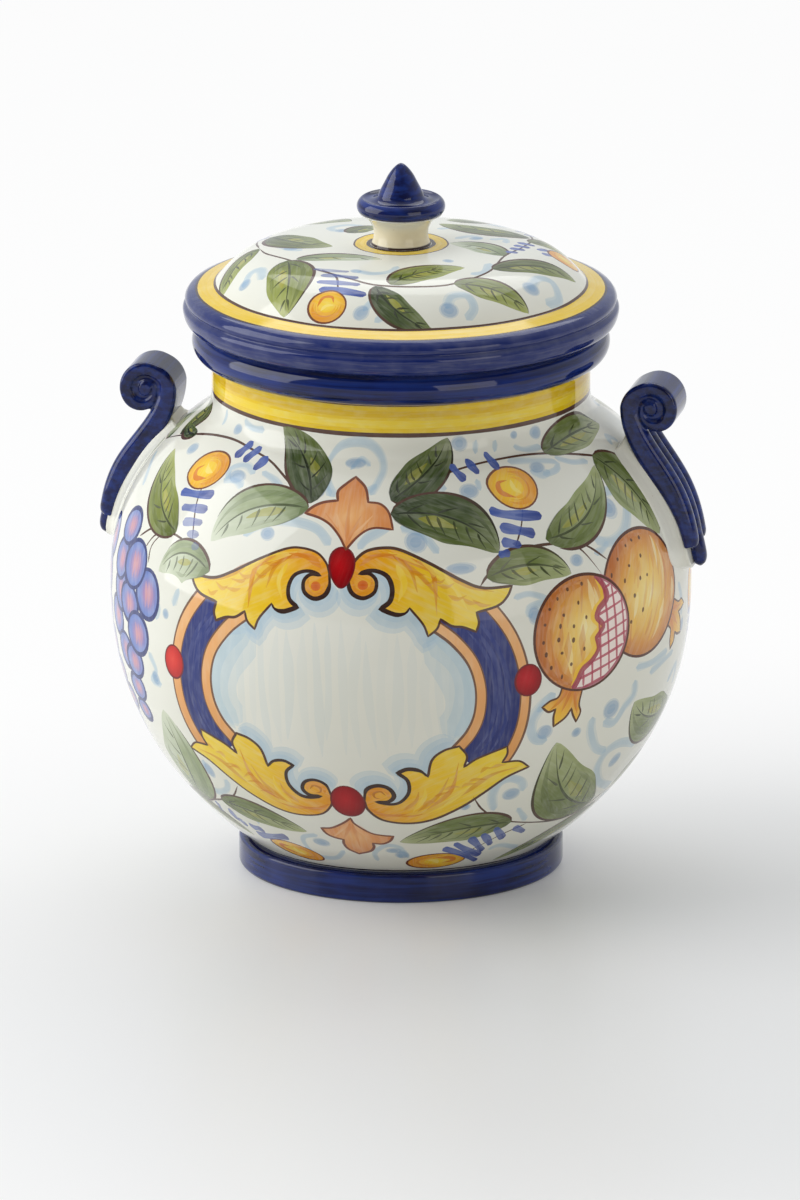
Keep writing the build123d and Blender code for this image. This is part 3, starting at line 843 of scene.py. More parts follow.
# The cartouche: pale-blue water inside its edge, a cobalt band between two peach ones, four acanthus
# scrolls with curled volutes, red stones and two lilies. Its field is left bare.
cartouche = spot(-0.5, 110)
CARTOUCHE_SIDES = [
    ([(-46.4, 41.6), (-59.5, 30.8), (-70, 17), (-74.3, 2), (-73, -13), (-67, -25.8), (-57, -36.6)], 6.6, 12.2),
    ([(44.9, 42.2), (58.2, 31.9), (68.2, 18.8), (72.6, 3.5), (71.6, -12), (66.2, -24.6), (56.8, -35.8)], 7.8, 12.6),
]
ACANTHUS = {
    1: [
        [(4.2, 54.6), (6.0, 59.4), (10.6, 63.8), (18.0, 65.4), (25.4, 64.4), (38.0, 58.6), (52.3, 50.8),
            (62.7, 46.6), (76.0, 46.2)],
        [(76.0, 46.2), (74.2, 42.0), (70.0, 38.4), (60.4, 36.2)],
        [(60.4, 36.2), (61.6, 31.6), (60.4, 27.8)],
        [(60.4, 27.8), (54.6, 30.2), (49.6, 31.0), (44.6, 34.2)],
        [(44.6, 34.2), (43.2, 30.0), (39.4, 26.8)],
        [(39.4, 26.8), (37.0, 32.2), (31.0, 39.2)],
        [(31.0, 39.2), (29.2, 37.0), (25.0, 36.4), (18.4, 38.8)],
        [(18.4, 38.8), (22.4, 42.2), (23.0, 47.6), (20.8, 52.6), (16.6, 54.9), (12.3, 55.2), (8.3, 53.8)],
        [(8.3, 53.8), (12.8, 53.9), (15.9, 50.8), (15.4, 45.9), (10.8, 43.2), (6.0, 44.9), (3.9, 49.1), (4.2, 54.6)],
    ],
    -1: [
        [(7.6, -56.0), (8.8, -62.4), (14.4, -69.0), (25.0, -71.2), (36.0, -68.8), (49.6, -61.0), (60.4, -53.0),
            (71.5, -45.0), (83.0, -40.4)],
        [(83.0, -40.4), (78.5, -36.4), (70.5, -36.0)],
        [(70.5, -36.0), (73.2, -31.6), (73.4, -27.6)],
        [(73.4, -27.6), (65.0, -30.4), (58.6, -33.0), (53.0, -36.8)],
        [(53.0, -36.8), (54.8, -30.8), (51.8, -25.4)],
        [(51.8, -25.4), (45.0, -27.2), (39.4, -32.0), (36.8, -41.2)],
        [(36.8, -41.2), (33.6, -37.8), (28.4, -36.8), (23.8, -38.9)],
        [(23.8, -38.9), (27.8, -43.4), (27.6, -50.4), (23.6, -56.2), (19.0, -57.9), (12.8, -56.6)],
        [(12.8, -56.6), (18.2, -56.2), (21.0, -52.6), (19.2, -48.0), (14.4, -46.4), (9.4, -49.0), (7.6, -56.0)],
    ],
}


def right_or_left(flip):
    """the right half of the cartouche, or its mirror image as the left hand would draw it"""
    size, tilt = (1.0, 0.0) if flip > 0 else (0.97, math.radians(0.8))

    def at(points):
        p = np.asarray(points, float) * size
        x, y = p[:, 0] * flip, p[:, 1]
        c, s = math.cos(tilt), math.sin(tilt)
        return cartouche(np.column_stack((x * c - y * s, x * s + y * c)))

    return at


def side_line(places):
    """the middle line of one side band and the way out from it"""
    line = curve(places)
    run = np.gradient(line, axis=0)
    out = np.column_stack((run[:, 1], -run[:, 0])) / np.hypot(run[:, 0], run[:, 1])[:, None]
    return line, out * np.sign((out * line).sum())


for x in range(-52, 58, 6):
    top, foot = hand.uniform(22, 34), hand.uniform(-22, -34)
    places = [(x + hand.uniform(-2, 2), top), (x + hand.uniform(-1.5, 1.5), 0), (x + hand.uniform(-2, 2), foot)]
    width = hand.uniform(2.6, 4.6)
    stroke(cartouche, curve(places, 3), width, flat(dye("b5ccd6", hand.uniform(0.05, 0.18))), (0.25, 0.25), 0.9)
for places, _, _ in CARTOUCHE_SIDES:
    line, out = side_line(places)
    for reach, width, cover in ((19.5, 15, 0.30), (17.0, 10, 0.34), (14.5, 6, 0.34)):
        stroke(cartouche, (line - out * reach)[4:-4], width, flat(dye("b4cedb", cover)), (0.12, 0.12), 0.9)
for flip in (1, -1):
    for way, runs in ACANTHUS.items():
        under = corners(*runs[3 if way == 1 else 5 :], step=1.8)
        for down, width, cover in ((4.0, 8.4, 0.32), (2.6, 6.0, 0.36), (1.4, 4.0, 0.30)):
            path = under + (-down * 0.5, -down * way)
            stroke(right_or_left(flip), path, width, flat(dye("a9c6d9", cover)), (0.04, 0.04), 0.9)

# The outer half of each side band starts a little lower, under the acanthus.
UNDER_LEAF = 11
COBALTS = dye("2c3a84"), dye("1f2b6e"), dye("263278")
PEACHES = dye("f0bb80"), dye("ecb070"), dye("dfa05a")
for places, cobalt, peach in CARTOUCHE_SIDES:
    line, out = side_line(places)
    edges = np.vstack(((line + out * cobalt)[UNDER_LEAF:], (line - out * cobalt)[::-1]))
    lay(cartouche(edges), wash(cartouche, (0, 45), (0, -45), *COBALTS), (0, 1), 0.45, 2.5)
    for k in range(3):
        path = (line + out * hand.uniform(-4.5, 4.5))[6 + 5 * k : -4]
        stroke(cartouche, path, 2.4, flat(dye("4456a0", 0.22)), (0.3, 0.4), 0.8)
    for near, far, begin in ((cobalt - 0.2, peach, UNDER_LEAF), (-peach, 0.2 - cobalt, 0)):
        edges = np.vstack(((line + out * near)[begin:], (line + out * far)[begin:][::-1]))
        lay(cartouche(edges), wash(cartouche, (0, 45), (0, -40), *PEACHES), (0, 1), 0.6, 2.5)
    for place, width in ((peach, 1.0), (cobalt + 0.1, 0.7), (-cobalt - 0.1, 0.7), (-peach, 1.1)):
        path = (line + out * place)[UNDER_LEAF if place > 0 else 0 :]
        stroke(cartouche, path, width, flat(dye("6f4a36", 0.95)))

STREAKS = {
    1: [
        [(12, 62), (26, 61), (40, 55), (52, 49)], [(20, 63.5), (36, 58), (50, 50), (62, 45)],
        [(26, 60), (36, 52), (44, 43)], [(30, 61), (40, 54), (43, 36)], [(34, 60), (48, 50), (56, 38)],
        [(42, 57), (56, 48), (68, 44.5)], [(8, 57), (14, 61.5), (24, 62.5)], [(24, 58), (28, 50), (26, 42)],
        [(22, 62), (30, 56), (34, 46)],
    ],
    -1: [
        [(14, -65), (28, -65), (42, -58), (56, -48)], [(22, -66), (38, -61), (52, -51), (64, -42)],
        [(30, -63), (40, -53), (46, -42)], [(34, -62), (46, -50), (51, -34)], [(42, -59), (56, -47), (66, -36)],
        [(50, -54), (64, -43), (78, -39.5)], [(9, -61), (16, -65.5), (27, -65)], [(28, -63), (34, -54), (35, -47)],
        [(24, -62), (30, -56), (32, -50)],
    ],
}
YELLOWS = dye("e7a01a"), dye("ecb620"), dye("f0c828"), dye("f0cd30"), dye("f1d43c")
STREAK_TONES = dye("d9801c", 0.6), dye("f5dc50", 0.5), dye("cd6f1c", 0.45)
VOLUTES = {
    1: [(13.6, 52.2), (14.2, 48.0), (11.0, 45.0), (7.2, 46.2), (5.8, 50.4)],
    -1: [(18.6, -54.2), (18.2, -50.2), (14.6, -48.4), (10.8, -50.8), (10.6, -55.0)],
}
for flip in (1, -1):
    at = right_or_left(flip)
    for way, runs in ACANTHUS.items():
        whole = corners(*runs)
        root, tip = ((10, 60), (60, 36)) if way == 1 else ((12, -66), (66, -38))
        lean = leaning(at, tip[0] - root[0], tip[1] - root[1], root)
        lay(at(whole), wash(at, root, tip, *YELLOWS), lean, 0.85, 2.2)
        for k, places in enumerate(STREAKS[way]):
            width = hand.uniform(1.8, 3.6) if k % 3 < 2 else 2.1
            stroke(at, curve(places, 1.8), width, flat(STREAK_TONES[k % 3]), (0.25, 0.55), 0.9)
        for k in range(7):
            x, y = (30 + 4.6 * k, 56 - 2.6 * k) if way == 1 else (34 + 5.4 * k, -58 + 3.4 * k)
            x, y = x + hand.uniform(-2, 2), y + hand.uniform(-2, 2)
            mid = (x + hand.uniform(2, 5), y - hand.uniform(1, 3) * way)
            end = (x + hand.uniform(6, 9), y - hand.uniform(-1, 3) * way)
            stroke(at, curve([(x, y), mid, end]), 1.7, flat(dye("d6821c", 0.45)), (0.3, 0.5), 0.8)
        stroke(at, curve(VOLUTES[way], 0.9), 2.4, flat(dye("df9122", 0.7)), (0.3, 0.3), 0.8)
        if way == 1:
            eye = ring(2.3, 2.2, 16) + (10.2, 48.8)
            lay(at(eye), bloom(at, (10.2, 48.8), 2.5, 2.5, dye("cf5a1c"), dye("dc7a26")), (1, 0), 0.5)
        else:
            turn = curve([(17.4, -52.4), (15.4, -50.0), (12.4, -51.2), (12.6, -53.8), (14.8, -54.4)], 0.8)
            stroke(at, turn, 1.1, flat(dye("b9661c", 0.8)), (0.2, 0.4), 0.4)
        stroke(at, whole, 1.2, flat(UMBER), closed=True)
        stroke(at, corners(*runs[6:]), 1.9, flat(DARK_UMBER), (0.08, 0.08))
for centre, rx, ry, reds in [
    ((0.4, 56.0), 5.5, 8.8, ("bc0410", "a50008", "860008")), ((0.2, -57.2), 7.2, 9.9, ("b80612", "a5000c", "88000a")),
    ((84.5, 3.6), 6.4, 7.0, ("c31420", "b00612", "92060e")), ((-85.4, 2.0), 6.4, 7.4, ("e24030", "d62c22", "b81c16")),
]:
    stone = ring(rx, ry, 30, 0.03)
    stone[:, 0] *= 1 + (0.22 if centre[1] > 50 else 0.0) * stone[:, 1] / ry
    stone += centre
    gleam = (centre[0] - 1, centre[1] + 1)
    lay(cartouche(stone), bloom(cartouche, gleam, rx, ry, *(dye(red) for red in reds)), (0.3, 1), 0.05, 2.0)
    stroke(cartouche, stone, 0.8, flat(dye("74141c")), closed=True)
lily(
    spot(0.2, 172.2),
    [(0, 0), (-3.5, 5.7), (-8.2, 10.7), (-13.4, 13.4), (-20.2, 15.0)], [(-20.2, 15.0), (-17.0, 18.4), (-12.5, 21.0),
        (-6.4, 22.4)],
    [(-6.4, 22.4), (-6.9, 27.0), (-3.8, 31.2), (-0.3, 35.0)], [(-0.3, 35.0), (4.8, 29.6), (7.1, 22.4)],
    [(7.1, 22.4), (12.5, 21.6), (16.7, 17.5), (19.5, 9.6)], [(19.5, 9.6), (11.2, 10.2), (5.5, 7.0), (0, 0)],
)
lily(
    spot(-0.5, 47.2, 180),
    [(0, 0), (-1.5, 4.5), (-7.6, 10.8), (-12.8, 12.5), (-17.0, 12.9)], [(-17.0, 12.9), (-15.0, 17.0), (-11.3, 19.7),
        (-7.2, 19.4)],
    [(-7.2, 19.4), (-7.0, 23.2), (-4.7, 27.0), (0.7, 30.0)], [(0.7, 30.0), (4.8, 26.0), (6.1, 21.2), (5.7, 17.7)],
    [(5.7, 17.7), (10.0, 16.2), (13.0, 13.6), (14.6, 9.5)], [(14.6, 9.5), (9.6, 8.5), (3.5, 3.8), (0, 0)],
)

# Boughs, fruit and leaves at the front and on both flanks.
for width, places in [
    (1.3, [(-10.4, 188.6), (-17.1, 194.5), (-25.4, 200), (-33.6, 202.2), (-43.3, 203.4), (-52.3, 202.6),
        (-60.6, 200.3), (-69.3, 196.3), (-81.2, 188.9)]),
    (1.3, [(11, 190), (16.6, 195), (21.6, 198.7), (30.9, 201.5), (40.3, 202.6), (50.1, 202.5), (59.7, 200.8),
        (71.7, 196.4), (82, 190.3), (88.5, 178)]),
    (1.2, [(28.1, 156.7), (29.8, 160.9), (33.3, 166.1), (38.2, 169.5), (43.2, 170.5), (49.7, 169.2), (52.8, 165.3),
        (56.6, 154.1)]),
    (1.0, [(49.7, 169.2), (54.2, 166.9), (59.4, 158.5)]), (0.9, [(-56.3, 159.2), (-52.1, 164.6), (-47.2, 166.2)]),
    (0.8, [(-52.4, 156.2), (-50.3, 162.3), (-47.1, 166)]), (0.8, [(-49.7, 150.9), (-50, 158.3), (-47.1, 165.8)]),
    (0.9, [(-47.2, 166.2), (-42.3, 166.1), (-37.1, 163.5), (-31, 156)]),
    (1.1, [(-29.2, 56.5), (-32.6, 50.2), (-37.6, 45.9), (-50.4, 41), (-63, 43), (-76, 52)]),
    (1.1, [(28.7, 58.3), (32, 50.5), (38.2, 43.2), (50, 38), (61.7, 35.5), (70.5, 38.5), (82, 47), (88.6, 57)]),
    (0.8, [(-41.8, 186.2), (-40.7, 180.5), (-38.4, 171.8), (-36.9, 165.2)]),
    (0.8, [(41.2, 184.9), (39.4, 178.4), (36.7, 170.3)]), (0.8, [(47.4, 38.4), (40.8, 33.6), (32.7, 25.3), (27, 22)]),
]:
    stem(places, width)
for base, tip, width, bend, side, veins, tint, lined in [
    ((-9.8, 188.3), (-24.5, 213.7), 20, -0.10, 1, 5, "deep", (0, 0.95)),
    ((9.5, 191), (24.5, 213), 20, 0.08, -1, 6, "deep", (0, 1)),
    ((-10, 186.5), (-33, 168), 21, 0.16, -1, 5, "pale", (0, 0.85)),
    ((9.6, 186), (34, 169.5), 22, 0.15, 1, 6, "deep", (0, 1)),
    ((-43, 167.5), (-63, 192.5), 21, 0.12, 1, 6, "moss", (0, 1)),
    ((-71, 196), (-80, 213), 14, 0.15, -1, 4, "sage", (0, 1)),
    ((-62, 199.5), (-74, 200), 7, 0.1, 1, 2, "deep", (0, 1)),
    ((56, 201.8), (89.4, 202.5), 17, 0.08, 1, 5, "olive", (0, 1)),
    ((44.5, 172.5), (67, 193.6), (9.5, 11), 0.16, -1, 6, "olive", (0.1, 1)),
    ((71.3, 196.5), (80.1, 160.7), 29, 0.05, 1, 6, "olive", (0, 1)),
    ((29.7, 160), (48.8, 157), 16.5, 0.13, 1, 5, "olive", (0, 1)),
    ((-30.3, 155.8), (-45.4, 149.5), (6, 12.5), 0.25, -1, 5, "pale", (0, 0.8)),
    ((-53, 41.5), (-46, 86), 30, 0.12, -1, 4, "pale", (0.0, 0.9)),
    ((-39.9, 44.3), (-15.2, 36.2), 17, 0.06, 1, 5, "olive", (0, 1)),
    ((72, 39.5), (43.9, 81.3), 28, 0.135, 1, 6, "olive", (0, 1)),
    ((41.8, 41), (12.8, 33.5), 20, 0.08, -1, 6, "olive", (0, 1)),
    ((78, 37), (51.5, 15.8), 13, 0.05, -1, 6, "olive", (0, 1)),
    ((89.3, 79), (67.5, 91), (13, 11), 0.14, 1, 5, "olive", (0, 1)),
    ((-64, 45), (-82, 62), 18, 0.12, -1, 5, "sage", (0, 1)), ((-72, 51), (-84, 30), 13, 0.10, 1, 5, "moss", (0, 1)),
    ((-79, 190), (-86, 150), 16, 0.10, -1, 5, "pale", (0, 1)), ((-58, 43), (-42, 25), 10, 0.10, 1, 4, "sage", (0, 1)),
    ((-76, 192), (-86, 205), 10, 0.10, 1, 4, "pale", (0, 1)), ((88.6, 57), (80, 43), 12, 0.10, -1, 5, "moss", (0, 1)),
]:
    leaf(span(base, tip), width, bend, side, veins, tint, lined)
for place, rx, ry in [
    ((-43.9, 192.4, 205), 11.6, 10), ((41, 193, 164), 11.4, 10.6), ((23.4, 20.4, 2), 12.6, 7.4),
    ((-23.8, 22, 158), 12.4, 7.2), ((-73, 76, 40), 10.5, 9.0),
]:
    lemon(spot(*place), rx, ry)
sprig(spot(-68, 66, 150), 4, 13, 4.6)
for width, strength, places in [
    (4.0, 1.0, [(-48, 182.1), (-41.9, 183.3), (-36.7, 185)]),
    (3.8, 0.85, [(-44.8, 177), (-40, 178.4), (-36.3, 179.1)]),
    (3.6, 0.7, [(-42.3, 172), (-39, 173.2), (-36.1, 173.9)]), (3.4, 0.62, [(-39.6, 168.4), (-35.8, 169)]),
    (3.2, 0.4, [(-37, 164.3), (-34.7, 164.4)]), (4.6, 1.0, [(32.8, 186.1), (36.5, 183.8), (45.4, 181.4)]),
    (4.5, 0.95, [(34.3, 179.4), (38.4, 177.4), (42.4, 175.1)]), (4.2, 0.95, [(34, 173.8), (38.5, 171.6)]),
    (3.6, 0.95, [(32.8, 168.8), (35.6, 169.3)]), (6.4, 1.0, [(-36.6, 204.8), (-37.5, 201.8), (-38.1, 198.6)]),
    (6.4, 1.0, [(-32.2, 203.8), (-33.5, 200.9), (-34.5, 198.2)]),
    (6.2, 1.0, [(-27.9, 201.6), (-28.5, 199.2), (-29.7, 196.6)]),
    (5.0, 1.0, [(37.2, 205.6), (38.1, 202.6), (39.2, 199.4)]),
    (5.0, 1.0, [(30.8, 203.9), (31.9, 201.4), (33.1, 198.8)]), (4.8, 1.0, [(26, 202.6), (27.3, 199.6), (29, 197)]),
    (4.2, 0.95, [(24.4, 28.8), (30.6, 24.5), (39, 17.8)]), (4.4, 0.95, [(27.3, 31.6), (31.7, 27), (38.5, 21.6)]),
    (4.6, 0.95, [(31.3, 34.3), (34.3, 30), (38.2, 24.2)]), (4.3, 0.95, [(34.6, 35.8), (36.7, 32.8), (39.7, 27.8)]),
    (4.2, 0.9, [(37.6, 38.8), (39.8, 35.3), (42.7, 30.8)]), (3.8, 0.85, [(43.7, 37.4), (49, 32.8)]),
    (3.4, 0.8, [(-44.1, 41.8), (-46, 35.5)]), (5.0, 0.85, [(-39.5, 39.9), (-40.4, 36), (-40.2, 32.9)]),
    (5.2, 0.85, [(-38.8, 35.4), (-38.6, 32.9), (-37.5, 31.5)]),
    (5.4, 0.85, [(-36.3, 31.9), (-33.6, 31.7), (-30.9, 31.2)]),
    (5.4, 0.85, [(-36.5, 27), (-30.2, 28.3), (-22.6, 30.6)]),
]:
    dash(curve(on_jar(places), 1.0), width, strength)
pomegranate(spot(69, 140.5, -20), 28.5, 1.0, split=False, crown=-12)
pomegranate(spot(51, 130.5, -4), 26.5, 0.98, crown=-100)
for around, height, turn, rx, ry in [
    (-74, 150, 0, 10, 10), (-75, 134, 0, 10, 10), (-75, 118, 0, 9, 9), (-72, 104, 0, 8, 8), (-69, 92, 0, 8, 7),
    (-65, 82, 0, 7, 6), (-64.6, 119.6, 0, 9, 9), (-61.9, 132.7, 0, 9, 9.5), (-63, 146, 0, 9, 9.5),
    (-60.4, 106, 0, 9, 8.5), (-57.1, 80.2, 0, 7, 5.4), (-57, 91, 0, 8.4, 6.6), (-55.8, 103.5, 0, 9.4, 7.8),
    (-56.8, 129.5, 0, 10.5, 9), (-62.0, 160.8, 14, 10, 8.6), (-52.9, 117.6, 0, 10.8, 9.6),
    (-48.6, 137.6, 4, 10.4, 11), (-55.3, 147.6, 6, 11.2, 11),
]:
    grape(spot(around, height, turn), rx, ry)

# The back of the pot carries one wide garland in the same hand.
BACK = -180
for place, radius, turns, flip in [
    ((0, 198, 60), 9, 1.0, 1), ((-28, 150, 0), 9.5, 0.95, 1), ((30, 152, 180), 9.5, 0.95, -1),
    ((-50, 178, 60), 8, 0.9, 1), ((52, 180, 30), 8, 0.9, -1), ((-62, 110, 20), 9, 0.9, 1),
    ((64, 112, 200), 9, 0.9, -1), ((-36, 84, 60), 8, 0.85, 1), ((38, 82, 120), 8, 0.85, -1), ((0, 48, 0), 8, 0.9, 1),
    ((-60, 60, 60), 8, 0.9, 1), ((62, 58, 120), 8, 0.9, -1), ((-20, 206, 10), 5.5, 0.8, 1),
    ((46, 208, 10), 5.5, 0.8, 1), ((-72, 208, 10), 5.5, 0.8, -1), ((18, 36, 60), 6, 0.8, 1),
    ((-80, 150, 60), 7.5, 0.9, 1), ((82, 128, 100), 7.5, 0.9, -1), ((-84, 84, 30), 7.5, 0.9, -1),
    ((-30, 32, 0), 5, 0.8, 1),
]:
    curl(spot(BACK + place[0], place[1], place[2], flip=flip), radius, turns)
for around, height in [
    (-10, 184), (14, 186), (-40, 196), (38, 196), (-22, 168), (22, 170), (-46, 132), (48, 130), (-8, 66), (10, 64),
    (-52, 94), (54, 94), (-24, 52), (28, 50), (-74, 172), (76, 176), (-70, 130), (70, 86), (-44, 40), (44, 38),
]:
    dab(spot(BACK + around, height, hand.uniform(0, 180)), hand.uniform(2.2, 3.8), hand.uniform(1.8, 3.0))
for places, width in [
    ([(-2, 178), (-14, 186), (-30, 190), (-48, 187), (-64, 180), (-80, 168)], 1.3),
    ([(2, 178), (14, 187), (30, 192), (48, 190), (64, 182), (78, 170)], 1.3), ([(0, 178), (2, 168), (1, 158)], 1.2),
    ([(-30, 190), (-36, 180), (-40, 168), (-42, 158)], 1.1), ([(32, 192), (38, 180), (42, 168), (42, 158)], 1.1),
    ([(-4, 78), (-18, 70), (-34, 64), (-52, 60), (-70, 58)], 1.2),
    ([(6, 78), (20, 70), (36, 62), (54, 58), (70, 60)], 1.2),
]:
    stem([(BACK + a, z) for a, z in places], width)
for base, tip, width, bend, side, veins, tint in [
    ((-14, 186), (-30, 207), 19, 0.10, 1, 5, "deep"), ((14, 187), (30, 208), 19, 0.10, -1, 5, "deep"),
    ((-8, 183), (-24, 160), 20, 0.14, -1, 6, "sage"), ((10, 184), (26, 160), 20, 0.14, 1, 6, "sage"),
    ((-48, 187), (-66, 204), 18, 0.10, 1, 5, "sage"), ((50, 189), (66, 205), 18, 0.10, -1, 5, "moss"),
    ((-54, 184), (-60, 152), 18, 0.12, 1, 5, "moss"), ((56, 186), (64, 154), 18, 0.12, -1, 5, "sage"),
    ((-76, 171), (-74, 136), 17, 0.12, -1, 5, "sage"), ((74, 172), (76, 140), 17, 0.12, 1, 5, "pale"),
    ((-20, 69), (-36, 98), 18, 0.12, -1, 5, "sage"), ((22, 69), (38, 98), 18, 0.12, 1, 5, "moss"),
    ((-28, 66), (-14, 38), 15, 0.12, -1, 5, "moss"), ((30, 65), (16, 36), 15, 0.12, 1, 5, "sage"),
    ((-54, 60), (-70, 84), 18, 0.12, -1, 5, "deep"), ((56, 58), (72, 82), 18, 0.12, 1, 5, "sage"),
    ((-58, 59), (-44, 32), 13, 0.10, -1, 5, "sage"), ((60, 58), (48, 32), 13, 0.10, 1, 5, "moss"),
    ((-72, 58), (-84, 36), 12, 0.10, -1, 4, "sage"), ((72, 60), (84, 38), 12, 0.10, 1, 4, "sage"),
]:
    leaf(span((BACK + base[0], base[1]), (BACK + tip[0], tip[1])), width, bend, side, veins, tint)
for around, height, turn, rx, ry in [
    (-42, 199, 170, 11, 9), (42, 200, 10, 11, 9), (-84, 62, 60, 11, 9.4),
    (84, 108, 60, 11, 9.4), (-84, 128, 80, 10.5, 9), (0, 34, 0, 12.5, 7.5),
]:
    lemon(spot(BACK + around, height, turn), rx, ry)
pairs(spot(BACK - 22, 188.5, 170), 3)
pairs(spot(BACK + 23, 190, 12), 3)
for around, height, turn, count in [(84, 98, 0, 4), (-84, 118, 0, 4), (-11, 36, 90, 3), (11, 36, -90, 3)]:
    sprig(spot(BACK + around, height, turn), count, 14, 4.8)
pomegranate(spot(BACK + 13, 118, 10), 25, 1.0, split=False, crown=-62)
pomegranate(spot(BACK - 9, 122, -6), 27, 1.0, crown=-108)
for around, height in [
    (45, 103), (50, 116), (40, 115), (46, 127), (34, 127), (50, 139), (29, 139), (40, 138), (45, 149), (34, 149),
    (40, 159),
]:
    grape(spot(BACK + around, height, hand.uniform(-15, 15)), 8.4, 8.6)
    grape(spot(BACK - around - 2, height - 3, hand.uniform(-15, 15)), 8.4, 8.6)


def paint_skin(ground, rim_lines, bare, fit):
    """cuts the skin along every painted edge and gives each cut patch its paint: returns points, faces,
    the colour at each face corner with how wet it is, and the corner's place along the brush stroke"""
    points, edges = [ground], []
    count = len(ground)
    for line in rim_lines:
        points.append(line)
        edges += [(count + i, count + i + 1) for i in range(len(line) - 1)]
        count += len(line)
    outlines = []
    for outline, _, _, _, fine, round_pot in painting:
        if not round_pot:
            outline = fit(outline)
        outlines.append(outline)
        points.append(outline)
        edges += [(count + i, count + (i + 1) % len(outline)) for i in range(len(outline))]
        count += len(outline)
        if fine:
            a, b = outline.min(0) + fine / 2, outline.max(0)
            grid = np.stack(np.meshgrid(np.arange(a[0], b[0], fine), np.arange(a[1], b[1], fine)), -1).reshape(-1, 2)
            grid = grid + np.column_stack((np.round(grid[:, 1] / fine) % 2 * fine / 2, np.zeros(len(grid))))
            grid = grid[inside(grid, outline)]
            points.append(grid)
            count += len(grid)
    cut = delaunay_2d_cdt([Vector(p) for p in np.vstack(points)], edges, [], 0, 1e-3, False)
    made = np.array([tuple(p) for p in cut[0]])
    faces = np.array([f for f in cut[2] if len(f) == 3])
    spans = made[faces]
    area = np.cross(spans[:, 1] - spans[:, 0], spans[:, 2] - spans[:, 0])
    faces, spans = faces[np.abs(area) > 1e-6], spans[np.abs(area) > 1e-6]
    middle = spans.mean(1)
    colour = np.tile(bare, (len(faces), 3, 1)).astype(float)
    brush = spans.copy()
    for k, ((_, tone, lean, wet, _, _), outline) in enumerate(zip(painting, outlines)):
        near = np.flatnonzero(((middle >= outline.min(0)) & (middle <= outline.max(0))).all(1))
        near = near[inside(middle[near], outline)]
        if len(near) == 0:
            continue
        p = spans[near].reshape(-1, 2)
        c = tone(p).reshape(-1, 3, 4)
        cover = c[..., 3:4]
        colour[near, :, :3] = colour[near, :, :3] * (1 - cover) + c[..., :3] * cover
        colour[near, :, 3] = colour[near, :, 3] * (1 - cover[..., 0]) + wet * cover[..., 0]
        if callable(lean):
            brush[near] = lean(p).reshape(-1, 3, 2)
            continue
        across = np.array((-lean[1], lean[0]))
        brush[near] = np.stack((p @ lean + 37.0 * (k % 29), p @ across + 53.0 * (k % 31)), -1).reshape(-1, 3, 2)
    return made, faces, colour, brush


def skin_mesh(name, places, faces, colour, brush, flat_map, rest, rest_paint):
    """one closed mesh of the painted skin and the plain turned rest of the piece"""
    mesh = bpy.data.meshes.new(name)
    mesh.from_pydata(places.tolist(), [], faces.tolist())
    for layer, values in (("Brush", brush), ("OFBake", flat_map)):
        mesh.uv_layers.new(name=layer).data.foreach_set("uv", values.reshape(-1))
    mesh.attributes.new("Paint", "FLOAT_COLOR", "CORNER").data.foreach_set("color", colour.reshape(-1))
    whole = bmesh.new()
    whole.from_mesh(mesh)
    turned = bpy.data.meshes.new(name + "_rest")
    rest.to_mesh(turned)
    rest.free()
    turned.uv_layers.new(name="Brush")
    turned.uv_layers.new(name="OFBake")
    turned.attributes.new("Paint", "FLOAT_COLOR", "CORNER")
    strokes, room, tints = turned.uv_layers["Brush"], turned.uv_layers["OFBake"], turned.attributes["Paint"]
    for face in turned.polygons:
        middle = math.atan2(face.center.x, -face.center.y)
        for k in face.loop_indices:
            p = turned.vertices[turned.loops[k].vertex_index].co / MM
            r = math.hypot(p.x, p.y)
            a = middle + (math.remainder(math.atan2(p.x, -p.y) - middle, math.tau) if r > 0.01 else 0)
            tints.data[k].color, room.data[k].uv, strokes.data[k].uv = rest_paint(r, p.z, a, face)
    whole.from_mesh(turned)
    bmesh.ops.remove_doubles(whole, verts=whole.verts, dist=2e-6)
    bmesh.ops.recalc_face_normals(whole, faces=whole.faces)
    whole.to_mesh(mesh)
    whole.free()
    bpy.data.meshes.remove(turned)
    mesh.shade_smooth()
    return mesh


def turned_gloss(mesh, facing):
    """gives the cut skin the true facing of the turned shape, so that no cut shows in the gloss"""
    normals = []
    for vertex in mesh.vertices:
        p = vertex.co / MM
        r = math.hypot(p.x, p.y)
        n = facing(r, p.z)
        share = max(r, 1e-6)
        normals.append(tuple(vertex.normal) if n is None else (n[0] * p.x / share, n[0] * p.y / share, n[1]))
    mesh.normals_split_custom_set_from_vertices(normals)


SKIN_ROWS = 45
ground = []
for j, v in enumerate(np.linspace(0, SKIN_HEIGHT, SKIN_ROWS)):
    line = columns
    if j % 2 and j < SKIN_ROWS - 1:
        half_step = (columns[1] - columns[0]) / 2
        line = np.concatenate((columns[:1], columns[:-1] + half_step, columns[-1:]))
    ground += [(u, v) for u in line]
rows = np.linspace(0, SKIN_HEIGHT, SKIN_ROWS)
rim_lines = [np.column_stack((columns, np.full_like(columns, v))) for v in (rows[0], rows[-1])]
rim_lines += [np.column_stack((np.full_like(rows, u), rows)) for u in (columns[0], columns[-1])]
corner_low, corner_high = np.array((columns[0], 0)) + 0.6, np.array((columns[-1], SKIN_HEIGHT)) - 0.6
made, faces, colour, brush = paint_skin(
    np.array(ground), rim_lines, BARE, lambda outline: np.clip(outline, corner_low, corner_high)
)
reach = np.interp(made[:, 1], body_length, body_side[:, 0]) - 0.03
rise = np.interp(made[:, 1], body_length, body_side[:, 1])
round_angle = made[:, 0] / BELLY
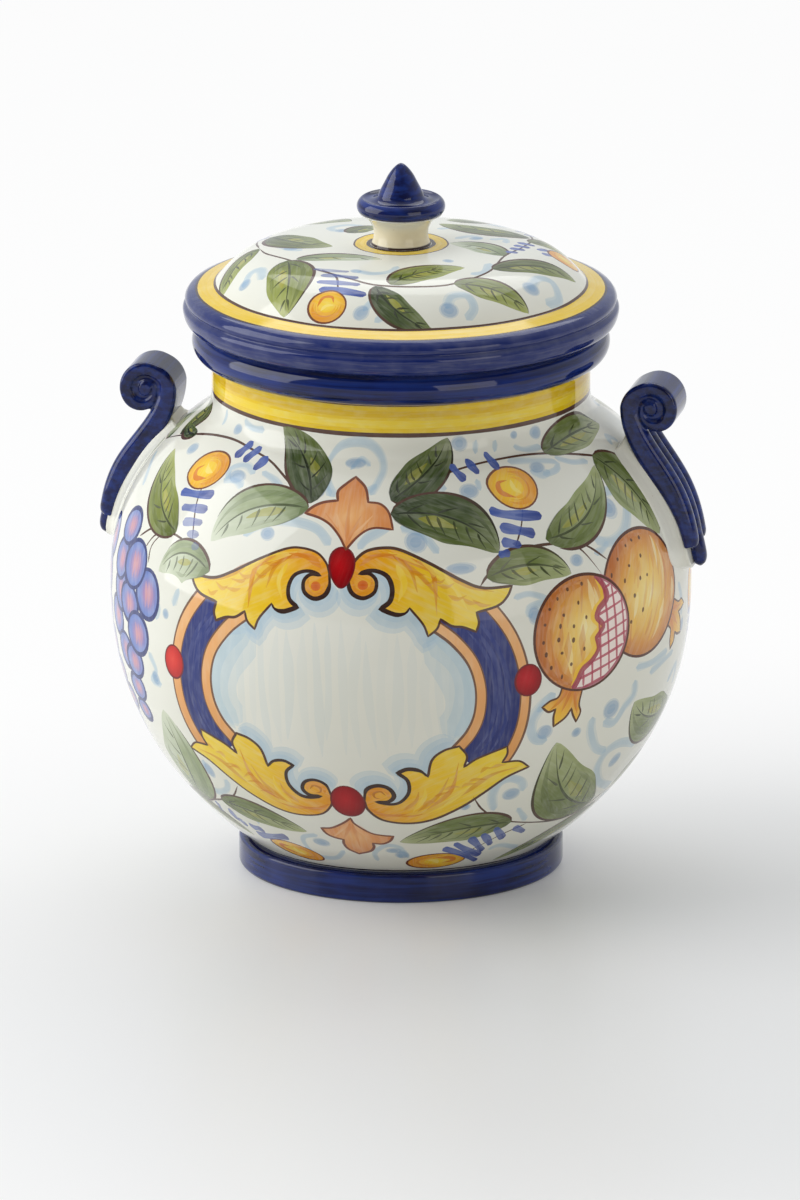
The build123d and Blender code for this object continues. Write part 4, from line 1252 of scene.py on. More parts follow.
places = np.column_stack((reach * np.sin(round_angle), -reach * np.cos(round_angle), rise)) * MM

# The bake map: the skin in two rows, one above the other, with the turned rest beside them.
BAKE_WIDTH = 590
corner_at = made[faces]
first_half = (corner_at.mean(1)[:, 0] < columns[SKIN_STEPS // 2])[:, None]
flat_u = (corner_at[..., 0] - columns[0] - np.where(first_half, 0, math.pi * BELLY)) / BAKE_WIDTH + 0.004
flat_v = corner_at[..., 1] / BAKE_WIDTH + np.where(first_half, 0.004, 0.504)
body_rest = turn_on_wheel(
    [(0.0, FLOOR_HEIGHT), (30.0, FLOOR_HEIGHT), (float(body_side[0, 0]), FLOOR_HEIGHT)], SKIN_STEPS, closed=False
)
inner = [(NECK, NECK_TOP), (NECK - 1.5, NECK_TOP), (NECK - WALL, NECK_TOP)]
for z in np.linspace(NECK_TOP - 4, FLOOR_HEIGHT + 14, 14):
    k = np.argmin(np.abs(body_side[:, 1] - body_out[:, 1] * WALL - z))
    inner.append((float(body_side[k, 0] - body_out[k, 0] * WALL), float(z)))
inner += [(64, 23.5), (58, 20.6), (50, FLOOR_HEIGHT + WALL + 0.1), (25, FLOOR_HEIGHT + WALL),
(0, FLOOR_HEIGHT + WALL)]
inner_wall = turn_on_wheel(inner, SKIN_STEPS, closed=False)
extra = bpy.data.meshes.new("inner_wall")
inner_wall.to_mesh(extra)
inner_wall.free()
body_rest.from_mesh(extra)
bpy.data.meshes.remove(extra)


def inside_of_jar(r, z, a, face):
    if face.normal.z < -0.9 and z < FLOOR_HEIGHT + 1:
        across = 0.70 + 0.05 * r / 67
    else:
        across = 0.76 + 0.22 * (0.4 * r + z - 19.4) / 242
    return BARE, (across, 0.5 + a / math.tau * 0.98), (a * r, z)


def body_facing(r, z):
    if not FLOOR_HEIGHT <= z <= NECK_TOP or abs(r - np.interp(z, body_side[:, 1], body_side[:, 0])) >= 0.05:
        return None
    return [np.interp(z, body_side[:, 1], body_out[:, k]) for k in (0, 1)]


flat_map = np.stack((flat_u, flat_v), -1)
body_mesh = skin_mesh("jar_body_painted", places, faces, colour, brush, flat_map, body_rest, inside_of_jar)
turned_gloss(body_mesh, body_facing)

# How a watery pigment lies on raw glaze: streaks along the stroke, and pools where it stood.
brushwork, enter, leave = group_of_nodes(
    "brushwork",
    [
        ("Paint", "NodeSocketColor", (1, 1, 1, 1)),
        ("Wet", "NodeSocketFloat", 0.5),
        ("Stroke", "NodeSocketVector", None),
        ("Bare glaze", "NodeSocketColor", (*IVORY[:3], 1)),
    ],
    [("Colour", "NodeSocketColor")],
)
tree = brushwork
paint, wet, path, bare_glaze = enter.outputs[0], enter.outputs[1], enter.outputs[2], enter.outputs[3]


def drawn_out(along, across):
    """the stroke's own coordinates, drawn out along it"""
    drawn = tree.nodes.new("ShaderNodeMapping")
    drawn.inputs["Scale"].default_value = (along, across, 1)
    tree.links.new(path, drawn.inputs["Vector"])
    return drawn.outputs[0]


streak = spread_node(tree, noise_node(tree, drawn_out(0.05, 0.62), 1.0, 3.0, 0.55, 0.4), 0.42, 0.72)
pool = spread_node(tree, noise_node(tree, drawn_out(0.10, 0.16), 1.0, 2.0, 0.5), 0.4, 0.75)
thin = math_node(tree, "MULTIPLY_ADD", streak, 0.13, math_node(tree, "MULTIPLY", pool, 0.10))
thick = math_node(tree, "SUBTRACT", 0.20, math_node(tree, "MULTIPLY", pool, 0.20))
deep = blend_node(tree, math_node(tree, "MULTIPLY", wet, thick), paint, paint, "MULTIPLY")
tree.links.new(blend_node(tree, math_node(tree, "MULTIPLY", wet, thin), deep, bare_glaze), leave.inputs["Colour"])


def painted_colour(tree):
    paint = tree.nodes.new("ShaderNodeVertexColor")
    paint.layer_name = "Paint"
    strokes = tree.nodes.new("ShaderNodeUVMap")
    strokes.uv_map = "Brush"
    work = tree.nodes.new("ShaderNodeGroup")
    work.node_tree = brushwork
    tree.links.new(paint.outputs["Color"], work.inputs["Paint"])
    tree.links.new(paint.outputs["Alpha"], work.inputs["Wet"])
    tree.links.new(strokes.outputs["UV"], work.inputs["Stroke"])
    coat = tree.nodes.new("ShaderNodeTexCoord").outputs["Object"]
    cloud = spread_node(tree, noise_node(tree, coat, 16.0, 2.0), 0.3, 0.7)
    clouded = blend_node(tree, 1.0, work.outputs["Colour"], (0.965, 0.96, 0.94), "MULTIPLY")
    return blend_node(tree, cloud, work.outputs["Colour"], clouded)


painted_glaze = glaze("painted_glaze", painted_colour, 0.25)
set_mesh(body_mesh, "jar_body_painted", "jar", painted_glaze, "painted_glaze", "jar_body")


# ---------------------------------------------------------------- rolled mouth
# A round coil of clay pressed down over the top of the neck, and dipped in cobalt that is blended towards a pale
# grey-blue low down, where it meets the neck. The lid sits on its crown.
def mouth_colour(tree):
    where = tree.nodes.new("ShaderNodeTexCoord").outputs["Object"]
    split = tree.nodes.new("ShaderNodeSeparateXYZ")
    tree.links.new(where, split.inputs[0])
    # The lowest part of the coil, next to the neck, is blended towards a pale grey-blue.
    ragged = math_node(tree, "MULTIPLY_ADD", noise_node(tree, where, 45.0, 2.0), 0.0016, split.outputs["Z"])
    bare = spread_node(tree, ragged, 0.2308, 0.2297)
    return blend_node(tree, math_node(tree, "MULTIPLY", bare, 0.6), cobalt_colour(tree), plain("8d93ad"))


MOUTH = (83.6, 235.77)
MOUTH_TUBE = 7.5
mouth = turn_on_wheel(arc(MOUTH, MOUTH_TUBE, -97.7, 230.7, 40) + [(81.0, NECK_TOP + 0.02), (NECK, NECK_TOP)])
set_piece(mouth, "rolled_mouth", "jar", glaze("mouth_cobalt", mouth_colour), "cobalt_glaze", "mouth_ring")


# ---------------------------------------------------------------- scroll handles
# A strap of three clay ribs is pressed up the shoulder, lifted away from it and rolled outwards into a scroll with a
# small eye at each end. Both are dipped in cobalt.
SCROLL = (113.14, 213.41)
SCROLL_REACH = 8.3
STRAP_ARC = 92.5


def hermite(a, run_a, b, run_b, t):
    """a point on the curve that leaves a along run_a and reaches b along run_b, and its run there"""
    at = (2 * t**3 - 3 * t**2 + 1) * a + (t**3 - 2 * t**2 + t) * run_a + (3 * t**2 - 2 * t**3) * b
    run = (6 * t**2 - 6 * t) * a + (3 * t**2 - 4 * t + 1) * run_a + (6 * t - 6 * t**2) * b
    return at + (t**3 - t**2) * run_b, run + (3 * t**2 - 2 * t) * run_b


def share_of(value, low, width):
    """how far a value has come through a stretch, from 0 to 1"""
    return min(max((value - low) / width, 0), 1)


def ease(value, low, width):
    """the same, starting and ending gently"""
    t = share_of(value, low, width)
    return t * t * (3 - 2 * t)


def strap_line():
    """the strap's middle line and the way its ribbed side faces, from the lower tip into the scroll"""
    places, faces = [], []
    for a in np.radians(np.linspace(6.2, 28, 26)):
        places.append((SHOULDER_CENTRE + STRAP_ARC * math.cos(a), BELLY_HEIGHT + STRAP_ARC * math.sin(a)))
        faces.append((math.cos(a), math.sin(a)))
    start, end = np.array(places[-1]), np.array((SCROLL[0] - SCROLL_REACH, SCROLL[1]))
    lean = np.array((-math.sin(math.radians(28)), math.cos(math.radians(28)))) * 43
    for t in np.linspace(0, 1, 26)[1:]:
        place, run = hermite(start, lean, end, np.array((0.0, 43.0)), t)
        places.append(tuple(place))
        faces.append((run[1] / np.hypot(*run), -run[0] / np.hypot(*run)))
    return places, faces


def loft(made, sections):
    """skins a row of closed loops and closes both ends"""
    loops = []
    for section in sections:
        loop = [made.verts.new(Vector(p) * MM) for p in section]
        loops.append([made.edges.new((a, b)) for a, b in zip(loop, loop[1:] + loop[:1])])
    for a, b in zip(loops, loops[1:]):
        bmesh.ops.bridge_loops(made, edges=a + b)
    for end in (loops[0], loops[-1]):
        bmesh.ops.edgeloop_fill(made, edges=end)


def soft_clay(made, name, grain, smoothing):
    """presses overlapping lumps into one skin, as wet clay joins, and smooths it with a sponge"""
    bmesh.ops.recalc_face_normals(made, faces=made.faces)
    lump = bpy.data.meshes.new(name + "_lumps")
    made.to_mesh(lump)
    made.free()
    holder = bpy.data.objects.new(name + "_lumps", lump)
    bpy.context.scene.collection.objects.link(holder)
    joined = holder.modifiers.new("join", "REMESH")
    joined.mode = "VOXEL"
    joined.voxel_size = grain * MM
    sponge = holder.modifiers.new("sponge", "SMOOTH")
    sponge.factor, sponge.iterations = 0.5, smoothing
    done = bpy.data.meshes.new_from_object(holder.evaluated_get(bpy.context.evaluated_depsgraph_get()))
    bpy.data.objects.remove(holder)
    bpy.data.meshes.remove(lump)
    done.name = name
    done.shade_smooth()
    return done


def other_hand(mesh, name, inward=0.0, sag=0.0):
    """the same piece for the other side of the jar, where the hand set it a little further in and lower"""
    made = bmesh.new()
    made.from_mesh(mesh)
    bmesh.ops.scale(made, vec=(-1, 1, 1), verts=made.verts)
    for vertex in made.verts:
        vertex.co.x += inward * MM
        vertex.co.z -= sag * ease(vertex.co.z / MM, 160, 45) * MM
    bmesh.ops.reverse_faces(made, faces=made.faces)
    twin = bpy.data.meshes.new(name)
    made.to_mesh(twin)
    made.free()
    twin.shade_smooth()
    return twin


def slab_section(place, face, low, high, wide, soft=1.5):
    """one cut through the strap's slab, with rounded edges"""
    loop = []
    for cy, cn, first in ((1, 1, 0), (-1, 1, 90), (-1, -1, 180), (1, -1, 270)):
        for a in np.radians(np.linspace(first, first + 90, 5)):
            y = cy * (wide - soft) + soft * math.cos(a)
            n = ((high - soft) if cn > 0 else (low + soft)) + soft * math.sin(a)
            loop.append((place[0] + face[0] * n, y, place[1] + face[1] * n))
    return loop


def disc(centre, radius, steps):
    turns = np.linspace(0, math.tau, steps, endpoint=False)
    return [(centre[0] + radius * math.cos(a), centre[1] + radius * math.sin(a)) for a in turns]


strap_places, strap_faces = strap_line()
strap_bulge = [2.0 * math.sin(math.pi * share_of(place[1], 156, 54)) for place in strap_places]
slab = [
    (place, face, -3.4 - 2.0 * ease(place[1], 160, 34), 1.0 + bulge, 12.0)
    for place, face, bulge in zip(strap_places, strap_faces, strap_bulge)
]
for turned in range(8, 500, 8):
    a = math.radians(turned)
    curl_in, eye, fall = ease(turned, 215, 155), share_of(turned, 370, 110), share_of(turned, 0, 60)
    reach = SCROLL_REACH + (3.5 - SCROLL_REACH) * curl_in + (2.0 - 3.5) * eye
    place = (SCROLL[0] - reach * math.cos(a), SCROLL[1] + reach * math.sin(a))
    low, high = -5.4 + 2.0 * fall + 1.6 * curl_in, 1.0 + 1.4 * fall * (1 - curl_in) + 0.2 * curl_in
    slab.append((place, (math.cos(a), -math.sin(a)), low, high, 12.0 - 0.3 * curl_in + 0.4 * eye))
handle = bmesh.new()
loft(handle, [slab_section(*row) for row in slab[next(i for i, p in enumerate(strap_places) if p[1] > 151) :]])
for side, tip in ((-1, 150.0), (0, 141.0), (1, 150.0)):
    sections = []
    start = next(i for i, p in enumerate(strap_places) if p[1] > tip - 0.4)
    tail = slab[start : len(strap_places) + 9]
    for i, (place, face, *_) in enumerate(tail):
        rise = strap_bulge[start + i] if start + i < len(strap_bulge) else 0.0
        gone = math.hypot(place[0] - tail[0][0][0], place[1] - tail[0][0][1])
        swell = math.sqrt(max(1 - (1 - min(gone / 5.5, 1)) ** 2, 0.02))
        fade = 1 - 0.85 * share_of(i, len(tail) - 13, 12)
        sections.append(
            [
                (place[0] + face[0] * n, y, place[1] + face[1] * n)
                for y, n in (
                    (side * 8.0 + 4.15 * swell * math.cos(b), rise + 3.5 * swell * fade * math.sin(b))
                    for b in np.linspace(0, math.tau, 20, endpoint=False)
                )
            ]
        )
    loft(handle, sections)
for reach, half in ((9.6, 10.8), (3.0, 12.3)):
    ends = ((-half, reach * 0.8), (-half + 0.5, reach), (half - 0.5, reach), (half, reach * 0.8))
    loft(handle, [[(x, y, z) for x, z in disc(SCROLL, r, 28)] for y, r in ends])
handle_mesh = soft_clay(handle, "scroll_handle_right", 0.45, 5)
left_handle_mesh = other_hand(handle_mesh, "scroll_handle_left", 1.4, 3.4)
set_mesh(handle_mesh, "scroll_handle_right", "jar", cobalt_glaze, "cobalt_glaze", "handle_right")
set_mesh(left_handle_mesh, "scroll_handle_left", "jar", cobalt_glaze, "cobalt_glaze", "handle_left")


# ---------------------------------------------------------------- handle pads
# A tongue of the body's own clay under each strap, pressed on with the thumbs and smoothed out onto the
# shoulder, and glazed ivory like the ground of the jar.
def ivory_colour(tree):
    where = tree.nodes.new("ShaderNodeTexCoord").outputs["Object"]
    cloud = spread_node(tree, noise_node(tree, where, 30.0, 2.0), 0.35, 0.7)
    specks = spread_node(tree, noise_node(tree, where, 900.0, 1.0), 0.74, 0.80)
    cream = blend_node(tree, cloud, tuple(IVORY[:3]), plain("e2e0d2"))
    return blend_node(tree, math_node(tree, "MULTIPLY", specks, 0.35), cream, plain("a58c68"))


PAD_ROOT = 82.2
ivory_glaze = glaze("ivory_glaze", ivory_colour, 0.4)
pad = bmesh.new()
sections = []
for k in np.linspace(0, 1, 34):
    i = k * 0.93 * (len(strap_places) - 1)
    place = np.array([np.interp(i, range(len(strap_places)), [p[j] for p in strap_places]) for j in (0, 1)])
    face = np.array([np.interp(i, range(len(strap_faces)), [f[j] for f in strap_faces]) for j in (0, 1)])
    outer = place - face * 2.6
    a = math.radians(6.2 + (50.0 - 6.2) * k)
    root = np.array((SHOULDER_CENTRE + PAD_ROOT * math.cos(a), BELLY_HEIGHT + PAD_ROOT * math.sin(a)))
    depth = np.hypot(*(outer - root))
    sag = np.array((0.35, -0.94)) * 0.24 * k**3 * depth
    tip = math.sqrt(max(1 - (1 - min((place[1] - strap_places[0][1] + 0.4) / 9.5, 1)) ** 2, 0.03))
    row = []
    for share in (1.0, 0.85, 0.7, 0.55, 0.42, 0.3, 0.2, 0.12, 0.05, 0.0):
        half = 9.4 + 6.5 * math.exp(-max(share * depth - 3.3, -1.2) / 2.4)
        x, z = root + (outer - root) * share + sag * 4 * share * (1 - share)
        row.append((x, half * tip, z))
    sections.append(row + [(x, -y, z) for x, y, z in row[::-1]])
loft(pad, sections)
pad_mesh = soft_clay(pad, "handle_pad_right_glazed", 0.5, 6)
left_pad_mesh = other_hand(pad_mesh, "handle_pad_left_glazed")
set_mesh(pad_mesh, "handle_pad_right_glazed", "jar", ivory_glaze, "ivory_glaze", "handle_pad_right")
set_mesh(left_pad_mesh, "handle_pad_left_glazed", "jar", ivory_glaze, "ivory_glaze", "handle_pad_left")


# ---------------------------------------------------------------- lid
# A thrown dome on a moulded rim, painted like the belly: a bough of leaves and fruit on ivory, a yellow
# line round the knob, a yellow band and a cobalt rim. Its underside is left plain.
LID_FOOT = 243.57
LID_RADIUS = 95.1
DOME_EDGE = (81.2, LID_FOOT + 17.4)
DOME_TOP = LID_FOOT + 35.3


def bezier(a, b, c, d, steps):
    t = np.linspace(0, 1, steps)[:, None]
    a, b, c, d = (np.array(p) for p in (a, b, c, d))
    return a * (1 - t) ** 3 + 3 * b * t * (1 - t) ** 2 + 3 * c * t**2 * (1 - t) + d * t**3


pull = math.radians(50)
above_edge = (DOME_EDGE[0] - 22 * math.cos(pull), DOME_EDGE[1] + 22 * math.sin(pull))
dome = bezier((0, DOME_TOP), (60, DOME_TOP), above_edge, DOME_EDGE, 400)
shelf = np.linspace(DOME_EDGE, (91.6, LID_FOOT + 14.73), 80)[1:]
brim = [(91.6 + 0.9 * math.sin(a), LID_FOOT + 13.86 + 0.87 * math.cos(a)) for a in np.linspace(0, 1.2, 12)[1:]]
lid_side = np.vstack((dome, shelf, brim))
for _ in range(14):
    lid_side[385:425] = (lid_side[384:424] + lid_side[385:425] + lid_side[386:426]) / 3
lid_side, lid_length, lid_out = measured_profile(lid_side)
lid_out = lid_out * -1
LID_REACH = float(lid_length[-1])



def lid_reach(radius):
    return np.interp(radius, lid_side[:, 0], lid_length)


def on_lid(x, y, turn=0):
    """a place on the lid, in mm seen from above: turns a motif's own mm into mm along the dome"""
    r = math.hypot(x, y)
    s = float(lid_reach(r)) / max(r, 1e-6)
    c, n = math.cos(math.radians(turn)), math.sin(math.radians(turn))

    def at(points):
        px, py = np.asarray(points, float).T
        return np.column_stack((x * s + c * px - n * py, y * s + n * px + c * py))

    return at


def on_dome(places):
    """places on the lid, mm from its middle seen from above, as points of its skin"""
    return np.vstack([on_lid(*place)([(0, 0)]) for place in places])


def lid_span(a, b):
    """the ground between two places on the lid"""
    start, end = on_dome((a, b))
    run = end - start
    return on_lid(*a, turn=math.degrees(math.atan2(run[1], run[0]))), math.hypot(*run)


def ring_line(reach, width, colour, wet=0.2):
    """a line painted on the lid as it turns, laid in two halves"""
    for first, side in ((-90, 1), (90, -1)):
        a = np.radians(np.linspace(first, first + 180, 121))
        wave = 0.10 * np.sin(5 * a + reach) + 0.06 * np.sin(13 * a)
        way = np.column_stack((np.cos(a), np.sin(a)))
        edges = (way * (reach + width / 2 + wave)[:, None], (way * (reach - width / 2 + wave)[:, None])[::-1])

        def round_the_lid(p, side=side):
            return np.column_stack((np.arctan2(p[:, 1] * side, p[:, 0] * side) * reach, np.hypot(p[:, 0], p[:, 1])))

        lay(np.vstack(edges), flat(colour), round_the_lid, wet, 0.0, True)


edge = float(lid_reach(DOME_EDGE[0]))
shelf_mid = float(lid_reach(89.2))
LID_COBALT = dye("0c2268")
painting = []
around = np.linspace(0, math.tau, 240, endpoint=False)
lay(edge * np.column_stack((np.cos(around), np.sin(around))), flat(IVORY), (1, 0), 0.0, 0.0, True)
for places, width in [
    ([(-0.7, -75), (2.8, -70.6), (7.4, -71.5), (8.2, -75.6), (5.0, -78.5)], 3.4),
    ([(34.1, -66), (35.0, -59.5), (41.0, -55.9), (45.0, -60), (43, -66)], 3.8),
    ([(64, -33), (65.3, -22), (70.8, -17.4), (75, -24), (71.4, -33.3)], 4.2),
    ([(-60.2, -45.4), (-58.6, -37.5), (-54, -38.2), (-51.4, -47)], 3.8),
    ([(-9.5, -46.5), (-2.3, -48.7), (4.6, -44.8), (6.5, -37)], 3.2), ([(38.9, -38.3), (44, -32.6), (44, -21)], 3.6),
    ([(21.3, 12.9), (27, 19), (33, 16)], 3.4), ([(36, 16), (42, 20), (44, 13)], 3.0),
    ([(-56, -4), (-48, -14), (-40, -18)], 3.6), ([(-32, 15), (-36, 22), (-30, 28), (-22, 26)], 3.6),
    ([(-3, 62), (4, 58), (9, 63), (5, 69)], 3.6), ([(40, 52), (34, 47), (28, 51), (30, 57)], 3.4),
    ([(66, 44), (60, 50), (64, 57), (70, 52)], 3.4), ([(-46, 62), (-52, 58), (-58, 63), (-54, 69)], 3.4),
    ([(-72, 16), (-76, 8), (-71, 2)], 3.2), ([(-24, 76), (-30, 72), (-36, 75)], 3.0),
    ([(24, 26), (18, 32), (10, 28)], 3.0),
]:
    water(curve(on_dome(places), 1.7), width)
for x, y, rx, ry in [
    (-1.6, -75.6, 3.6, 3.0), (35.2, -66, 4.0, 3.4), (64.4, -32, 4.0, 3.4), (-60, -44, 3.2, 2.8),
    (-10, -46.5, 2.4, 2.0), (-46, -15, 3.0, 2.2), (30, 16, 3.0, 2.2), (-30, 17, 3.0, 2.4), (4, 62, 3.2, 2.8),
    (33, 51, 2.8, 2.6), (65, 50, 3.0, 2.8), (-53, 64, 3.0, 2.6), (-74, 8, 2.4, 3.0), (26, -24, 2.4, 2.0),
]:
    dab(on_lid(x, y, hand.uniform(0, 180)), rx, ry)
for width, places in [
    (1.2, [(-61.4, -8.1), (-55.5, -19.5), (-43, -31.5), (-27.9, -45), (-9.9, -55.7), (2.2, -60.2), (18.6, -58.4),
        (33.7, -50.7), (45.4, -32.2), (47.6, -8), (52, 12), (52, 31), (43, 48), (27, 61), (8, 68)]),
    (1.1, [(-61.4, -8.1), (-65.5, 6), (-65, 22), (-56, 38), (-40, 50), (-22, 57), (-10, 66)]),
    (0.9, [(-25.6, -45.2), (-17.4, -53.4), (-14, -65)]),
]:
    stroke(as_laid, curve(on_dome(places), 1.8), width, flat(UMBER), (0.05, 0.2))
for base, tip, width, bend, side, veins, tint in [
    ((-61.4, -8.5), (-70.6, -39), 14, 0.08, -1, 5, "moss"), ((-43.6, -32), (-36.6, -71.5), 22, 0.06, 1, 5, "moss"),
    ((-60, 11), (-28, -10.6), 19, 0.12, -1, 5, "sage"), ((-40, -31), (-2.5, -28.5), 11, 0.06, 1, 3, "pale"),
    ((8, -59), (35, -31.5), 17, 0.10, 1, 6, "moss"), ((1.5, -61), (30, -76), 14, 0.14, -1, 5, "deep"),
    ((34, -50.5), (66, -45), 15, 0.08, 1, 5, "moss"), ((46.6, -28), (77.5, 1), 14, 0.06, 1, 5, "sage"),
    ((47, -8), (20.5, 4.5), 15, 0.14, -1, 3, "pale"), ((51, 31), (9, 38.5), 15, 0.08, 1, 4, "sage"),
    ((-26, 13), (-15, 27), 11, 0.1, 1, 3, "sage"), ((52, 22), (74, 34), 14, 0.10, 1, 4, "moss"),
    ((43, 48), (52, 66), 14, 0.10, -1, 4, "sage"), ((27, 61), (33, 77), 13, 0.10, -1, 4, "deep"),
    ((27, 60), (10, 48), 14, 0.12, 1, 4, "sage"), ((-65, 22), (-78, 34), 13, 0.10, -1, 4, "deep"),
    ((-56, 38), (-30, 36), 17, 0.12, 1, 5, "sage"), ((-40, 50), (-34, 71), 15, 0.10, 1, 5, "moss"),
    ((-22, 57), (-2, 50), 14, 0.10, -1, 4, "pale"), ((-10, 66), (-14, 81), 11, 0.10, 1, 4, "sage"),
]:
    leaf(lid_span(base, tip), width, bend, side, veins, tint)
for width, strength, places in [
    (3.0, 0.55, [(-29.3, -44.2), (-21.9, -46.4), (-12.7, -47.7)]),
    (3.2, 0.7, [(-24.7, -51.4), (-16.1, -52.6), (-7.2, -54.5)]),
    (3.4, 0.85, [(-25.2, -57.3), (-14.8, -59.1), (-5.1, -60.6)]),
    (4.2, 1.0, [(-23, -62.9), (-12.5, -65), (-1, -67.6)]), (3.6, 0.9, [(46.5, -1), (52, 0.5)]),
    (3.6, 0.95, [(47, 5.5), (54, 6.5)]), (3.6, 0.95, [(47.6, 11.3), (55, 12)]), (3.6, 0.95, [(48, 17), (56, 17.5)]),
    (3.4, 0.9, [(58, 12), (62, 18)]), (3.4, 0.85, [(61, 8), (66, 13)]), (3.4, 0.9, [(47, 37), (52, 42)]),
    (3.4, 0.9, [(42, 42), (47, 47)]), (3.4, 0.9, [(-68, 12), (-61, 12.5)]), (3.4, 0.9, [(-69, 17), (-61, 18)]),
    (3.4, 0.85, [(-50, 39), (-46, 47)]), (3.4, 0.85, [(-30, 50), (-31, 58)]), (3.4, 0.85, [(-25, 52), (-26, 60)]),
]:
    dash(curve(on_dome(places), 1.0), width, strength)
for x, y, turn, rx, ry in [
    (-17.5, -72.2, 80, 8.6, 8.8), (69, 17.5, 60, 8.6, 7.4), (19, 73, 10, 8.4, 7.4), (-61, 52, 40, 8.6, 7.6),
]:
    lemon(on_lid(x, y, turn), rx, ry)
ring_line(17.7, 5.4, dye("eac80c"), 0.7)
ring_line(16.9, 1.6, dye("f4d85a", 0.5), 0.8)
ring_line(14.2, 1.8, DARK_UMBER)
ring_line(20.4, 0.8, UMBER)
ring_line((edge + shelf_mid) / 2, shelf_mid - edge, dye("e9c60c"), 0.6)
ring_line(edge + 2.4, 2.4, dye("efd055", 0.5), 0.9)
ring_line(edge - 0.2, 1.3, UMBER)
ring_line(shelf_mid, 1.0, DARK_UMBER)

ground = [(0.0, 0.0)]
for j, s in enumerate(np.linspace(0, LID_REACH, 30)[1:-1]):
    count = max(6, min(SKIN_STEPS, int(math.tau * s / 3.6)))
    a = np.linspace(0, math.tau, count, endpoint=False) + j % 2 * math.pi / count
    ground += [(s * math.cos(k), s * math.sin(k)) for k in a]
circle = np.linspace(0, math.tau, SKIN_STEPS, endpoint=False)
rim_line = np.column_stack((LID_REACH * np.sin(circle), -LID_REACH * np.cos(circle)))


def within_edge(outline):
    """keeps a motif off the yellow band"""
    away = np.maximum(np.hypot(outline[:, 0], outline[:, 1]), 1e-6)
    return outline * np.minimum(1, (edge - 0.8) / away)[:, None]


COBALT_RIM = (*LID_COBALT[:3], 0.35)
made, faces, colour, brush = paint_skin(
    np.array(ground), [np.vstack((rim_line, rim_line[:1]))], COBALT_RIM, within_edge
)
along = np.hypot(made[:, 0], made[:, 1])
reach = np.interp(along, lid_length, lid_side[:, 0]) / np.maximum(along, 1e-6)
places = np.column_stack((made * reach[:, None], np.interp(along, lid_length, lid_side[:, 1]))) * MM
flat_map = made[faces] / (2 * LID_REACH) * 0.79 + 0.4
rim = [tuple(lid_side[-1])]
rim += [
    (r, LID_FOOT + z)
    for r, z in (
        (93.2, 13.3), (93.9, 12.3), (94.1, 11.4), (93.9, 10.4), (93.45, 9.6),
        (93.2, 9.25), (93.5, 8.85), (94.3, 8.3), (94.85, 7.7), (95.08, 6.9),
    )
]
rim += [(91.0 + 4.08 * math.cos(a), LID_FOOT + 7.2 - 7.2 * math.sin(a)) for a in np.linspace(0.12, math.pi / 2, 14)]
under = [(90.0, LID_FOOT), (76.0, LID_FOOT), (69.0, LID_FOOT), (68.5, LID_FOOT + 0.5), (68.5, LID_FOOT + 12.0)]
hollow = bezier((68.5, LID_FOOT + 13), (68.5, LID_FOOT + 22), (46, DOME_TOP - 6.5), (0, DOME_TOP - 6.5), 30)
lid_rest = turn_on_wheel(rim + under + [tuple(p) for p in hollow], SKIN_STEPS, closed=False)


def rest_of_lid(r, z, a, face):
    """the bake map gives the rim three strips and the underside one"""
    if math.hypot(face.center.x, face.center.y) / MM > 90.0:
        strip = math.tau / 3
        third = min(int((math.atan2(face.center.x, -face.center.y) + math.pi) / strip), 2)
        up = (z - LID_FOOT + (r - 91) * 0.5 + 0.8) / 16.2
        room = (0.81 + third * 0.063 + up * 0.058, (a + math.pi - third * strip) / strip * 0.98 + 0.01)
        return COBALT_RIM, room, (a * 95, z + r)
    return BARE, ((a + math.pi) / math.tau * 0.79, 0.81 + 0.18 * (z - LID_FOOT + 90 - r) / 119), (a * r, z)


def lid_facing(r, z):
    s = float(lid_reach(r))
    if r >= 92.4 or abs(np.interp(s, lid_length, lid_side[:, 1]) - z) >= 0.05:
        return None
    return [np.interp(s, lid_length, lid_out[:, k]) for k in (0, 1)]


lid_mesh = skin_mesh("lid_painted", places, faces, colour, brush, flat_map, lid_rest, rest_of_lid)
turned_gloss(lid_mesh, lid_facing)
set_mesh(lid_mesh, "lid_painted", "lid", painted_glaze, "painted_glaze", "lid")


# ---------------------------------------------------------------- locating flange
# A plain ring of the lid's own clay, thrown with it and glazed ivory. It drops into the neck and keeps
# the lid central.
flange = turn_on_wheel(
    [(74.3, LID_FOOT), (74.3, LID_FOOT - 5)]
    + arc((72.7, LID_FOOT - 9.4), 1.6, 0, -90)
    + arc((70.1, LID_FOOT - 9.4), 1.6, -90, -180)
    + [(68.5, LID_FOOT - 5), (68.5, LID_FOOT)]
)
set_piece(flange, "locating_flange", "lid", ivory_glaze, "ivory_glaze", "lid_flange")


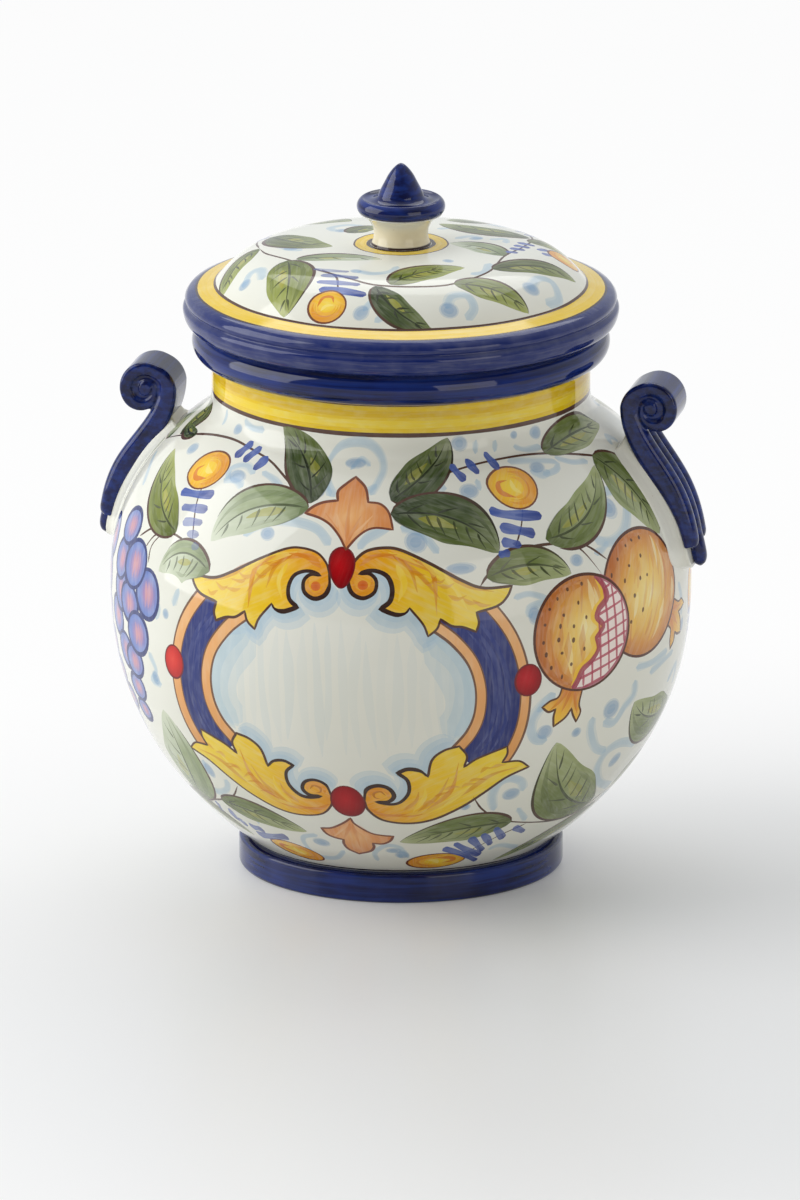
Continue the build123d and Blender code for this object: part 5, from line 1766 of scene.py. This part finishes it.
# ---------------------------------------------------------------- knob
# A waisted ivory stem, luted to the crown of the lid with a dark line round its foot, carries a cobalt
# button with a pointed finial. Both are turned on the wheel.
def three_point_arc(a, b, c, steps=14):
    """points on the circle through three points, from the first to the last"""
    a, b, c = (np.array(p, float) for p in (a, b, c))
    m = np.array((b - a, c - a)) * 2
    middle = np.linalg.solve(m, np.array((b @ b - a @ a, c @ c - a @ a)))
    angles = [math.atan2(*(p - middle)[::-1]) for p in (a, b, c)]
    mid, last = (angles[0] + math.remainder(angles[k] - angles[0], math.tau) for k in (1, 2))
    if (mid - angles[0]) * (last - angles[0]) < 0:
        last -= math.copysign(math.tau, last - angles[0])
    r = np.hypot(*(a - middle))
    return [(middle[0] + r * math.cos(t), middle[1] + r * math.sin(t)) for t in np.linspace(angles[0], last, steps)]


STEM_TOP = DOME_TOP + 14.0


def stem_colour(tree):
    split = tree.nodes.new("ShaderNodeSeparateXYZ")
    tree.links.new(tree.nodes.new("ShaderNodeTexCoord").outputs["Object"], split.inputs[0])
    foot = spread_node(tree, split.outputs["Z"], (DOME_TOP + 1.1) * MM, (DOME_TOP + 0.7) * MM)
    waist = spread_node(tree, split.outputs["Z"], (DOME_TOP + 11) * MM, (DOME_TOP + 5) * MM)
    warm = blend_node(tree, math_node(tree, "MULTIPLY", waist, 0.5), ivory_colour(tree), plain("ead9a8"))
    return blend_node(tree, foot, warm, tuple(DARK_UMBER[:3]))


stem_side = three_point_arc((14.2, DOME_TOP - 1.5), (11.9, DOME_TOP + 5.8), (18.0, STEM_TOP - 0.4), 30)
knob_stem = turn_on_wheel([(0, DOME_TOP - 1.5)] + stem_side + [(17.6, STEM_TOP), (0, STEM_TOP)], 96, closed=False)
set_piece(knob_stem, "knob_stem_turned", "lid", glaze("stem_ivory", stem_colour), "ivory_glaze", "knob_stem")

button_top = STEM_TOP + 6.6
button = three_point_arc((18.0, STEM_TOP), (19.3, STEM_TOP + 3.3), (17.0, button_top), 14)
dish = three_point_arc((17.0, button_top), (13.5, button_top - 0.9), (10.2, button_top + 0.6), 10)
finial = []
for a, run_a, b, run_b in (
    ((10.2, 0.6), (-2.4, 8.0), (6.3, 8.8), (-3.4, 7.2)),
    ((6.3, 8.8), (-3.2, 6.8), (0.0, 15.4), (-6.0, 0.0)),
):
    for t in np.linspace(0, 1, 14)[1:]:
        place, _ = hermite(np.array(a), np.array(run_a), np.array(b), np.array(run_b), t)
        finial.append((place[0], button_top + place[1]))
finial[-1] = (0.0, finial[-1][1])
knob_cap = turn_on_wheel([(0, STEM_TOP), (17.4, STEM_TOP)] + button + dish[1:] + finial, 96, closed=False)
set_piece(knob_cap, "knob_cap_turned", "lid", cobalt_glaze, "cobalt_glaze", "knob_cap")

low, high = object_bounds()
